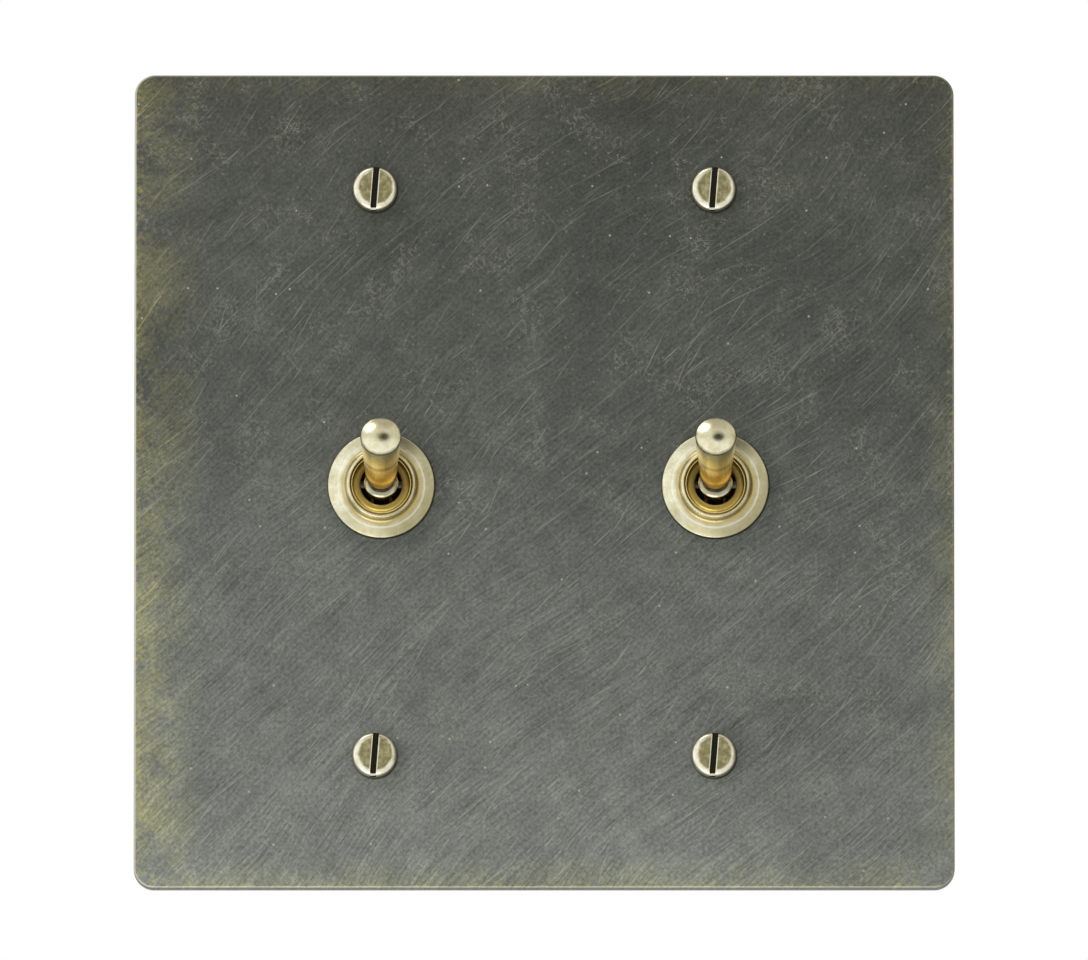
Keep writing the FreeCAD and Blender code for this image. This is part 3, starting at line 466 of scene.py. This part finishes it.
def screw_head(radius, top):
    """Height field p(u, v) over the head's disc. Columns u lie across the slot and follow its section,
    rows v run along it. Each height is the lower of the rounded head's and the slot's."""
    lip = arc(SLOT_WIDE / 2 + SLOT_LIP, -SLOT_LIP, SLOT_LIP, 90, 180, 5)
    floor = np.array([(SLOT_WIDE / 2, -SLOT_DEEP), (SLOT_WIDE / 6, -SLOT_DEEP)])
    face = np.sin(np.linspace(np.pi / 2, np.arcsin(lip[0, 0] / radius) * 1.03, FACE_COLUMNS))
    half = np.vstack([np.column_stack([radius * face, np.zeros(FACE_COLUMNS)]), lip, floor])
    section = np.vstack([half * (-1, 1), half[::-1]])
    across, drop = section[:, 0, None], section[:, 1, None]
    along = np.sin(np.linspace(-np.pi / 2, np.pi / 2, HEAD_ROWS))
    along = np.sqrt(np.clip(radius ** 2 - across ** 2, 0, None)) * along
    out = np.hypot(across, along)
    over = np.clip(out - (radius - HEAD_ROUND), 0, HEAD_ROUND)
    crown = np.sqrt(HEAD_ROUND ** 2 - over ** 2) - HEAD_ROUND
    depth = np.minimum(crown, np.maximum(drop, -SLOT_DEEP))
    points = np.stack([across + 0 * along, along, top + depth], axis=-1)
    columns, rows = points.shape[:2]
    corner = np.arange(columns * rows).reshape(columns, rows)
    quads = np.stack([corner[:-1, :-1], corner[1:, :-1], corner[1:, 1:], corner[:-1, 1:]], axis=-1)
    rim = np.vstack([points[:, 0], points[::-1, -1]])
    return (points.reshape(-1, 3), quads.reshape(-1, 4)), rim


def make_screw(name):
    """The head, its side wall down to the plate, the neck, and a shank p(u, v) whose radius dips in a wave
    of (height / pitch - turn), which winds the thread round it."""
    low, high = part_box(f"{name}_screw")
    x, z = centre_of(f"{name}_screw")
    radius = (high.x - low.x) / 2
    top, tail = -low.y, -high.y
    seat = top - HEAD_HIGH
    head, rim = screw_head(radius, top)
    base = rim.copy()
    base[:, 2] = seat
    wall = (np.vstack([rim, base]), grid_faces(2, len(rim)))
    foot = base.copy()
    foot[:, :2] *= (NECK_R / np.hypot(foot[:, 0], foot[:, 1]))[:, None]
    under = (np.vstack([base, foot]), grid_faces(2, len(rim)))
    turn = np.arctan2(foot[:, 1], foot[:, 0])
    h = np.concatenate([[seat, 0], np.linspace(0, tail + POINT_LONG, THREAD_ROWS), [tail]])[:, None]
    r = np.concatenate([[NECK_R, NECK_R], np.full(THREAD_ROWS, SHANK_R), [SHANK_R - POINT_IN]])[:, None]
    wave = np.abs(((h / THREAD_PITCH - turn / (2 * np.pi)) % 1) * 2 - 1)
    cut = np.zeros_like(r)
    cut[3:-1] = THREAD_DEEP
    shank_r = r - cut * np.clip(wave * THREAD_SLOPE - THREAD_FLAT, 0, 1)
    shank = np.stack([shank_r * np.cos(turn), shank_r * np.sin(turn), h + 0 * turn], axis=-1)
    shank = (shank.reshape(-1, 3), grid_faces(len(h), len(turn)))
    tip = shank[0][-len(turn):]
    end = (np.vstack([tip, tip * (0, 0, 1)]), grid_faces(2, len(turn)))
    lean = math.radians(SLOT_LEAN)
    turned = np.array([(math.cos(lean), -math.sin(lean), 0), (math.sin(lean), math.cos(lean), 0), (0, 0, 1)])
    return [(stand(points @ turned, x, z), faces) for points, faces in (head, wall, under, shank, end)]


# The film: where it ends and where it is quite gone, from a middle a little up and to the right, which leaves
# the bare rim wider at the lower left: worn brass, widened as a painted highlight where the light falls; and
# how far the film strays
FILM_R = 2.3 * MM
FILM_GONE_R = 2.62 * MM
FILM_ASIDE = 0.14 * MM
FILM_STRAY = 0.14 * MM
# The slot's lower end, where light from below reaches, is left out of the slot's painted shade: its place as
# a share of the head's radius, half its length
LIT_SLOT_END = 0.89
LIT_SLOT_HALF = 0.15 * MM


# Rubbed screw brass: a satin olive-grey film on the face, over pale brass that shows bright on the round
# edge. The film's edge is found from the distance to the screw's own middle.
def rubbed_brass(name):
    material, tree = new_tree(f"rubbed_brass_{name}")
    x, z = centre_of(f"{name}_screw")
    low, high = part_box(f"{name}_screw")
    place = add(tree, "TexCoord").outputs["Object"]
    apart = add(tree, "VectorMath", {"Vector": place, "Vector_001": (x, 0, z)}, operation="SUBTRACT")
    flat = add(tree, "VectorMath", {"Vector": apart, "Vector_001": (1, 0, 1)}, operation="MULTIPLY")
    out = add(tree, "VectorMath", {"Vector": flat, "Vector_001": (FILM_ASIDE, 0, FILM_ASIDE)},
              operation="DISTANCE").outputs["Value"]
    stray = add(tree, "TexNoise", {"Vector": place, "Scale": 1 / (1.1 * MM), "Detail": 4, "Roughness": 0.6})
    stray = add(tree, "MapRange", {
        "Value": stray, "From Min": 0.3, "From Max": 0.7, "To Min": -FILM_STRAY, "To Max": FILM_STRAY})
    edge = add(tree, "Math", {"Value": out, "Value_001": stray}, operation="ADD")
    film = add(tree, "MapRange", {
        "Value": edge, "From Min": FILM_R, "From Max": FILM_GONE_R, "To Min": 1, "To Max": 0})
    lean = math.radians(SLOT_LEAN)
    across = add(tree, "VectorMath", {"Vector": apart, "Vector_001": (math.cos(lean), 0, -math.sin(lean))},
                 operation="DOT_PRODUCT").outputs["Value"]
    beside = add(tree, "Math", {"Value": across}, operation="ABSOLUTE")
    edge_share = add(tree, "MapRange", {"Value": beside, "From Min": SLOT_WIDE / 2 + SLOT_LIP,
                                    "From Max": SLOT_WIDE / 2 + SLOT_LIP * 2.6})
    film = scaled(tree, film, edge_share)
    blot = add(tree, "TexNoise", {"Vector": place, "Scale": 1 / (0.8 * MM), "Detail": 5, "Roughness": 0.7})
    face = add(tree, "ValToRGB", {"Fac": blot}, stops=((0.3, "#6f6a4a"), (0.5, "#8f8963"), (0.7, "#b8b08a")))
    bare = add(tree, "ValToRGB", {"Fac": blot}, stops=((0.3, "#d6d0b2"), (0.6, "#efebd6")))
    skin = mixed(tree, film, bare, face)
    parts = add(tree, "SeparateXYZ", {"Vector": apart})
    # The slot's depth is painted dark, grime and painted shade together, except at its lower end, which light
    # from below reaches
    in_slot = add(tree, "Math", {
        "Value": across, "Value_001": 0, "Value_002": SLOT_WIDE / 2 + SLOT_LIP * 0.6}, operation="COMPARE")
    sunk = add(tree, "Math", {
        "Value": parts.outputs["Y"], "Value_001": low.y + SLOT_LIP + SLOT_DEEP / 2,
        "Value_002": SLOT_DEEP / 2}, operation="COMPARE")
    lit_slot_end = add(tree, "Math", {
        "Value": parts.outputs["Z"], "Value_001": LIT_SLOT_END * (low.x - high.x) / 2,
        "Value_002": LIT_SLOT_HALF}, operation="COMPARE")
    slot_grime_and_shade = add(tree, "Math", {"Value": scaled(tree, sunk, in_slot), "Value_001": lit_slot_end},
                operation="SUBTRACT")
    skin = mixed(tree, slot_grime_and_shade, skin, colour("#25241c"))
    rough = add(tree, "MapRange", {"Value": film, "To Min": 0.3, "To Max": 0.42})
    relief = add(tree, "Bump", {"Height": blot, "Strength": 0.2, "Distance": 0.02 * MM})
    shader = add(tree, "BsdfPrincipled", {
        "Base Color": skin, "Metallic": 1, "Roughness": rough, "Normal": relief})
    add(tree, "OutputMaterial", {"Surface": shader})
    return material


for screw in SCREWS:
    new_piece(f"{screw}_box_screw", make_screw(screw), rubbed_brass(screw), f"{screw}_screw")


# Dress rings
# The turned brass nut on the front of each toggle: a broad flange with a shallow slope, a cove, and a
# beaded inner edge. It is bare brass gone pale, with painted shade in the cove and by the bead, a painted
# highlight on the flange by its inner edge, and painted shade to its lower right.
# In mm, as all the turned profiles are
RING_BORE = 4.46
TURNED_STEPS = 160
# To the lower right, away from the light, where painted shade darkens a turning
PAINTED_SHADE_WAY = (0.88, 0, -0.47)


def rounded(corners, steps=7):
    """A profile through corners (r, h, radius), in millimetres: each corner is a tangent arc."""
    corners = np.array(corners, float)
    before, after = np.roll(corners, 1, axis=0), np.roll(corners, -1, axis=0)
    rows = []
    for last, here, following in zip(before, corners, after):
        if here[2] == 0:
            rows.append(here[None, :2])
            continue
        back = (last - here)[:2] / np.hypot(*(last - here)[:2])
        ahead = (following - here)[:2] / np.hypot(*(following - here)[:2])
        half = math.acos(np.clip(back @ ahead, -1, 1)) / 2
        middle = here[:2] + (back + ahead) / np.hypot(*(back + ahead)) * here[2] / math.sin(half)
        start = here[:2] + back * here[2] / math.tan(half) - middle
        stop = here[:2] + ahead * here[2] / math.tan(half) - middle
        spread = math.acos(np.clip(start @ stop / here[2] ** 2, -1, 1))
        share = np.linspace(0, 1, steps)[:, None]
        rows.append(middle + (np.sin((1 - share) * spread) * start + np.sin(share * spread) * stop)
                    / math.sin(spread))
    return np.vstack(rows) * MM


def make_ring(side):
    """A surface of revolution of the ring's closed section, set on the plate's face."""
    low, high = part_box(f"{side}_dress_ring")
    radius = (high.x - low.x) / 2 / MM
    top = (high.y - low.y) / MM
    profile = rounded([
        (RING_BORE, 0, 0), (radius, 0, 0.04), (radius, 0.57, 0.2), (6.1, 0.97, 0.05),
        (5.3, 1.06, 0.55), (5.05, top, 0.28), (RING_BORE, top, 0.28)])
    points, faces = lathe(np.vstack([profile, profile[:1]]), TURNED_STEPS)
    x, z = centre_of(f"{side}_dress_ring")
    return [(stand(points, x, z, high.y), faces)]


# Turned brass: satin, with fine lathe rings about the turning's own axis, faint stains, and bands of another
# tone: painted shade in hollows and gaps, painted highlights on edges, and painted reflections along a shank.
# Rings lie at a distance from the axis and lengths along it: middle and half width in mm, colour and
# strength.
# Streak draws the shine along the lathe rings, and a last share is how far painted shade darkens the lower
# right.
def turned_brass(name, centre, tone, stain_tone, rough, rings=(), lengths=(), tip=0, streak=0, painted_shade_share=0):
    material, tree = new_tree(f"turned_brass_{name}")
    place = add(tree, "TexCoord").outputs["Object"]
    own = add(tree, "Mapping", {"Vector": place, "Location": centre, "Rotation": (-math.radians(tip), 0, 0)},
              vector_type="TEXTURE")
    flat = add(tree, "VectorMath", {"Vector": own, "Vector_001": (1, 0, 1)}, operation="MULTIPLY")
    out = add(tree, "VectorMath", {"Vector": flat}, operation="LENGTH").outputs["Value"]
    along = scaled(tree, add(tree, "SeparateXYZ", {"Vector": own}).outputs["Y"], -1)
    stray = add(tree, "TexNoise", {"Vector": place, "Scale": 1 / (1.6 * MM), "Detail": 4, "Roughness": 0.6})
    stray = add(tree, "MapRange", {"Value": stray, "To Min": -0.16 * MM, "To Max": 0.16 * MM})
    stain = add(tree, "TexNoise", {"Vector": place, "Scale": 1 / (1.8 * MM), "Detail": 6, "Roughness": 0.7})
    stain = add(tree, "MapRange", {"Value": stain, "From Min": 0.4, "From Max": 0.75})
    skin = mixed(tree, scaled(tree, stain, 0.75), colour(tone), colour(stain_tone))
    # Painted shade: the turning darkens towards a dull brown on its lower right, away from the light
    sideways = add(tree, "VectorMath", {"Vector": own, "Vector_001": PAINTED_SHADE_WAY}, operation="DOT_PRODUCT")
    painted_shade_mask = add(tree, "MapRange", {
        "Value": sideways.outputs["Value"], "From Min": -5 * MM, "From Max": 8 * MM, "To Max": painted_shade_share})
    skin = mixed(tree, painted_shade_mask, skin, colour("#8f8250"))
    for measure, bands in ((out, rings), (along, lengths)):
        for middle, half, tint, share in bands:
            near = add(tree, "Math", {"Value": measure, "Value_001": stray}, operation="ADD")
            near = add(tree, "Math", {"Value": near, "Value_001": middle * MM}, operation="SUBTRACT")
            near = add(tree, "Math", {"Value": near}, operation="ABSOLUTE")
            band = add(tree, "MapRange", {
                "Value": near, "From Min": half * 0.6 * MM, "From Max": half * 1.3 * MM,
                "To Min": share, "To Max": 0})
            skin = mixed(tree, band, skin, colour(tint))
    line = add(tree, "CombineXYZ", {"X": out, "Y": along})
    turned = add(tree, "TexNoise", {"Vector": line, "Scale": 1 / (0.12 * MM), "Detail": 2})
    grain = add(tree, "MapRange", {
        "Value": turned, "From Min": 0.3, "From Max": 0.7, "To Min": 0.94, "To Max": 1.06})
    skin = add(tree, "VectorMath", {"Vector": skin, "Scale": grain}, operation="SCALE")
    roughness = add(tree, "MapRange", {"Value": stain, "To Min": rough, "To Max": rough + 0.1})
    relief = add(tree, "Bump", {"Height": turned, "Strength": 0.2, "Distance": 0.006 * MM})
    shader = add(tree, "BsdfPrincipled", {
        "Base Color": skin, "Metallic": 1, "Roughness": roughness, "Normal": relief,
        "Anisotropic": streak, "Tangent": flat})
    add(tree, "OutputMaterial", {"Surface": shader})
    return material


for side in SIDES:
    x, z = centre_of(f"{side}_dress_ring")
    # Painted bands: a golden shade across the cove, a dark shade at the bead's inner edge by the bushing, and
    # a pale highlight on the flange by its inner edge
    finish = turned_brass(
        f"{side}_ring", (x, 0, z), "#e8e6cb", "#b3a870", 0.24, streak=0.6, painted_shade_share=0.75, rings=[
            (5.5, 0.36, "#b9a566", 0.7), (4.55, 0.08, "#7c6632", 0.5), (6.3, 0.14, "#f2efdd", 0.4)])
    new_piece(f"{side}_ring", make_ring(side), finish, f"{side}_dress_ring")


# Bushings
# The brass bush that each toggle hangs in: a dished mouth round the lever, a barrel for the ring and the
# nut, which is plain here where the real one has a fine thread, and a foot flange behind the plate.
def make_bushing(side):
    """A surface of revolution of the bush's closed section, from its foot to its dished mouth."""
    low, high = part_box(f"{side}_bushing")
    back = -high.y / MM
    top = -low.y / MM
    profile = rounded([
        (4.1, back, 0), (5.2, back, 0.1), (5.2, back + 0.8, 0), (6.4, back + 0.8, 0.1),
        (6.4, back + 1.6, 0.1), (4.4, back + 1.6, 0), (4.4, top, 0.08), (4.26, top, 0.06),
        (3.78, top - 0.5, 0.12), (3.07, top - 0.75, 0.07), (3.07, top - 4.7, 0)])
    points, faces = lathe(np.vstack([profile, profile[:1]]), TURNED_STEPS)
    x, z = centre_of(f"{side}_dress_ring")
    return [(stand(points, x, z), faces)]


for side in SIDES:
    x, z = centre_of(f"{side}_dress_ring")
    # Painted bands: shade on the mouth's outer chamfer and at the edge of the bore, and a highlight on the
    # rim
    finish = turned_brass(
        f"{side}_bushing", (x, 0, z), "#ffec9c", "#dcb65c", 0.28, streak=0.2, rings=[
            (4.12, 0.12, "#6b5424", 0.65), (3.12, 0.08, "#5a4018", 0.6), (4.4, 0.08, "#d8cda0", 0.6)])
    new_piece(f"{side}_bush", make_bushing(side), finish, f"{side}_bushing")


# Levers
# The dolly: one brass turning from the domed end through a tapered shank and a necked-down ball to the
# drilled tang, which turns on the pin inside the bushing.
LEVER_TILT = 18
# The dome's radius and its top's height from the hinge, in mm, and the angle where its arc starts
DOME_R = 5.87
DOME_TOP = 17.415
DOME_FROM = 61.7


def pivot_of(side):
    """Where a lever's hinge is."""
    joint = next(item for item in frame["joints"] if item["child"] == f"{side}_lever")
    return joint["pos_m"]


def make_lever(side):
    """A surface of revolution about the lever's axis, heights in mm from the hinge: well, tang, barrel, neck
    and shank through rounded corners, then the dome as an arc up to the axis."""
    profile = np.vstack([
        rounded([(0, -3.2, 0), (0.7, -3.2, 0), (0.7, -8.6, 0.05), (1.15, -8.6, 0.1), (1.15, -2.25, 0.15),
                 (2.53, 0, 0.1), (2.53, 1.2, 0.15), (2.34, 1.38, 0.25), (1.95, 1.6, 0.03), (1.95, 2.94, 0.2),
                 (2.24, 3.41, 0.12), (3, 16.5, 0), (2.9, 16.68, 0)]),
        arc(0, DOME_TOP - DOME_R, DOME_R, DOME_FROM, 90, 17) * MM,
    ])
    points, faces = lathe(profile)
    x, y, z = pivot_of(side)
    return [(stand(points, x, z, y, LEVER_TILT), faces)]


for side in SIDES:
    # Painted bands along the lever: painted reflections of the ring, gold on the shank with a dark line
    # across it; painted shade at the shank's foot and in the neck; and a dark painted line round the dome's
    # edge
    finish = turned_brass(
        f"{side}_lever", pivot_of(side), "#e8e5c8", "#c9ba86", 0.18, tip=LEVER_TILT, lengths=[
            (12.6, 3, "#f6da84", 0.92), (7, 4.1, "#f2cb6c", 0.94), (2.42, 1.02, "#2c2010", 0.94),
            (4.25, 0.75, "#5a3f18", 0.72), (10.6, 0.6, "#8d6c30", 0.6), (16.47, 0.24, "#4c4122", 0.85)])
    new_piece(f"{side}_dolly", make_lever(side), finish, f"{side}_lever", f"{side}_lever")


# Inner pieces
# Everything behind the plate keeps its own solid: steel frames and pins, fibre and phenolic mouldings,
# brass terminals and copper rockers.
INNER_EASE = 0.12 * MM
INNER_WELD = 0.001 * MM


def plain_finish(name, light, dark, metallic, rough, grain):
    """Two close tones in soft clouds of the grain's size, a little rougher where they are paler."""
    material, tree = new_tree(name)
    place = add(tree, "TexCoord").outputs["Object"]
    cloud = add(tree, "TexNoise", {"Vector": place, "Scale": 1 / grain, "Detail": 5, "Roughness": 0.6})
    skin = add(tree, "ValToRGB", {"Fac": cloud}, stops=((0.32, dark), (0.68, light)))
    roughness = add(tree, "MapRange", {"Value": cloud, "From Min": 0.3, "From Max": 0.7,
                                       "To Min": rough - 0.08, "To Max": rough + 0.08})
    relief = add(tree, "Bump", {"Height": cloud, "Strength": 0.15, "Distance": 0.02 * MM})
    shader = add(tree, "BsdfPrincipled", {
        "Base Color": skin, "Metallic": metallic, "Roughness": roughness, "Normal": relief})
    add(tree, "OutputMaterial", {"Surface": shader})
    return material


finishes = {
    # Nearly black with oil, and a little glossy: pins and springs
    "oiled_steel": plain_finish("oil_blackened_steel", "#4a4846", "#2e2c2a", 1, 0.32, 1.5 * MM),
    # Pale blue grey in soft clouds, as bright zinc turns
    "zinc_steel": plain_finish("zinc_plated_steel", "#b9bdbf", "#8f9598", 1, 0.36, 2.5 * MM),
    # Dull dark red brown, with the fleck of pressed fibre
    "fibre_sheet": plain_finish("vulcanised_fibre", "#4d2820", "#381c16", 0, 0.6, 0.6 * MM),
    # Brown black with a soft moulded gloss
    "phenolic": plain_finish("moulded_phenolic", "#26211e", "#181513", 0, 0.38, 1.2 * MM),
    # Milky ivory, smooth from the mould
    "acetal": plain_finish("moulded_acetal", "#e8e4d8", "#d9d4c5", 0, 0.4, 1 * MM),
    # Pinkish copper, faintly browned
    "contact_copper": plain_finish("stamped_copper", "#c98a62", "#a0623f", 1, 0.34, 1.4 * MM),
    # Yellow brass, browned a little where it was handled
    "strip_brass": plain_finish("stamped_brass", "#cdb167", "#a58a45", 1, 0.33, 1.6 * MM),
    # The same metal, turned
    "turned_brass": plain_finish("nut_brass", "#c9ac60", "#9f8340", 1, 0.33, 1.6 * MM),
}


def eased(node, material):
    """A welded copy of a node's solid: its flats dissolved, and its sharp edges eased by a small bevel."""
    mesh = node.data.copy()
    form = bmesh.new()
    form.from_mesh(mesh)
    bmesh.ops.remove_doubles(form, verts=form.verts, dist=INNER_WELD)
    bmesh.ops.dissolve_limit(form, angle_limit=math.radians(1), verts=form.verts, edges=form.edges)
    form.to_mesh(mesh)
    form.free()
    mesh.attributes.remove(mesh.attributes["custom_normal"])
    mesh.shade_smooth()
    mesh.set_sharp_from_angle(angle=SHARP_EDGE)
    mesh.materials.clear()
    mesh.materials.append(material)
    piece = bpy.data.objects.new(f"{node.name}_part", mesh)
    bpy.context.scene.collection.objects.link(piece)
    bevel = piece.modifiers.new("eased edges", "BEVEL")
    bevel.width = INNER_EASE
    bevel.segments = 2
    bevel.limit_method = "ANGLE"
    bevel.angle_limit = math.radians(40)
    bevel.harden_normals = True
    return piece


for node in list(frame["nodes"].values()):
    if node.hide_render:
        continue
    slot = node.data.materials[0].name
    piece = eased(node, finishes[slot])
    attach(piece, node["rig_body"])
    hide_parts(node.name)


# Studio
# A pale floor well below the object, an even white surround whose ceiling and side walls are dimmer, a dark
# doorway in it, and two soft lamps on the left: the key above and a weaker one below.
FLOOR_DOWN = 1.0
FLOOR_WIDE = 8
# Walls of the surround: axis, where the level starts to change and where it is reached, and that level
WALLS = (("X", 0.4, -0.5, 1.15), ("X", 0.66, 0.92, 0.45), ("X", -0.82, -0.97, 1.2),
         ("Z", 0.44, 0.51, 0.76), ("Z", 0.8, 1, 0.7))
DOOR_X, DOOR_Z, DOOR_WIDE, DOOR_HIGH = 0.12, 0.55, 0.33, 0.23
# What the surround gives matt surfaces, as a share of full white
AMBIENT = 0.55


def soft_lamp(name, azimuth, elevation, away, size, energy):
    """A disk of light that faces the object from a direction in degrees, azimuth 0 in front of it."""
    lamp = bpy.data.lights.new(name, "AREA")
    lamp.shape = "DISK"
    lamp.size = size
    lamp.energy = energy
    lamp_object = bpy.data.objects.new(name, lamp)
    bpy.context.scene.collection.objects.link(lamp_object)
    across, up = math.radians(azimuth), math.radians(elevation)
    lamp_object.location = (away * math.sin(across) * math.cos(up), -away * math.cos(across) * math.cos(up),
                            away * math.sin(up))
    lamp_object.rotation_euler = (-lamp_object.location).to_track_quat("-Z", "Y").to_euler()


soft_lamp("key_lamp", -58, 60, away=1.6, size=0.74, energy=2.6)
soft_lamp("low_lamp", -20, -50, away=1, size=0.9, energy=3)

world = bpy.data.worlds.new("white_surround")
bpy.context.scene.world = world
world.use_nodes = True
tree = world.node_tree
tree.nodes.clear()
path = add(tree, "LightPath")
way = add(tree, "SeparateXYZ", {"Vector": add(tree, "TexCoord").outputs["Generated"]})
across, up = [add(tree, "MapRange", {
    "Value": way.outputs[axis], "From Min": start, "From Max": start + reach}, clamp=False)
    for axis, start, reach in (("X", DOOR_X, DOOR_WIDE), ("Z", DOOR_Z, DOOR_HIGH))]
apart = add(tree, "VectorMath", {"Vector": add(tree, "CombineXYZ", {"X": across, "Y": up})},
            operation="LENGTH")
doorway = add(tree, "MapRange", {
    "Value": apart.outputs["Value"], "From Min": 0.5, "From Max": 1.05}, interpolation_type="SMOOTHSTEP")
walls, *others = [add(tree, "MapRange", {
    "Value": way.outputs[axis], "From Min": near, "From Max": far, "To Min": 1, "To Max": level},
    interpolation_type="SMOOTHSTEP") for axis, near, far, level in WALLS]
for wall in (*others, doorway):
    walls = scaled(tree, walls, wall)
mirrored = add(tree, "Math", {"Value": path.outputs["Is Glossy Ray"],
                              "Value_001": path.outputs["Is Transmission Ray"]}, operation="MAXIMUM")
level = add(tree, "MapRange", {"Value": mirrored, "To Min": AMBIENT, "To Max": walls})
level = add(tree, "MapRange", {"Value": path.outputs["Is Camera Ray"], "To Min": level, "To Max": 1})
tint = mixed(tree, level, colour("#f0e2b4"), colour("#ffffff"))
add(tree, "OutputWorld", {"Surface": add(tree, "Background", {"Color": tint, "Strength": level})})

# Painted studio floor: matt and near white, and seen as white with the object's soft shadow on it.
material, tree = new_tree("painted_floor")
path = add(tree, "LightPath")
paint = add(tree, "BsdfDiffuse", {"Color": colour("#f4f4f2")})
white = add(tree, "Emission", {"Color": colour("#ffffff"), "Strength": 1})
seen = add(tree, "Math", {"Value": path.outputs["Is Camera Ray"], "Value_001": path.outputs["Is Glossy Ray"]},
           operation="MAXIMUM")
add(tree, "OutputMaterial", {"Surface": add(tree, "MixShader", {
    "Fac": scaled(tree, seen, 0.8), "Shader": paint, "Shader_001": white})})
floor_mesh = bpy.data.meshes.new("floor")
half = FLOOR_WIDE / 2
floor_mesh.from_pydata([(-half, -half, -FLOOR_DOWN), (half, -half, -FLOOR_DOWN), (half, half, -FLOOR_DOWN),
                        (-half, half, -FLOOR_DOWN)], [], [(0, 1, 2, 3)])
floor_mesh.materials.append(material)
floor = bpy.data.objects.new("floor", floor_mesh)
bpy.context.scene.collection.objects.link(floor)

# Camera
# A long lens, a little below the plate's middle and looking up at it.
CAMERA_AWAY = 5
CAMERA_ELEVATION = -7.5
FRAME_WIDE = 1088
PLATE_WIDE_SEEN = 820
FRAME_RIGHT, FRAME_UP = -0.2, 1
camera = bpy.data.cameras.new("camera")
camera.sensor_width = 36
plate_wide = plate_high.x - plate_low.x
camera.lens = camera.sensor_width * PLATE_WIDE_SEEN / FRAME_WIDE / plate_wide * CAMERA_AWAY
camera.clip_end = 20
view = bpy.data.objects.new("camera", camera)
bpy.context.scene.collection.objects.link(view)
bpy.context.scene.camera = view
middle = (plate_low + plate_high) / 2
middle.y = plate_low.y
rise = math.radians(CAMERA_ELEVATION)
view.location = middle + CAMERA_AWAY * type(middle)((0, -math.cos(rise), math.sin(rise)))
view.rotation_euler = (math.pi / 2 - rise, 0, 0)
camera.shift_x = FRAME_RIGHT / FRAME_WIDE
camera.shift_y = FRAME_UP / FRAME_WIDE

bpy.context.scene.view_settings.view_transform = "Standard"
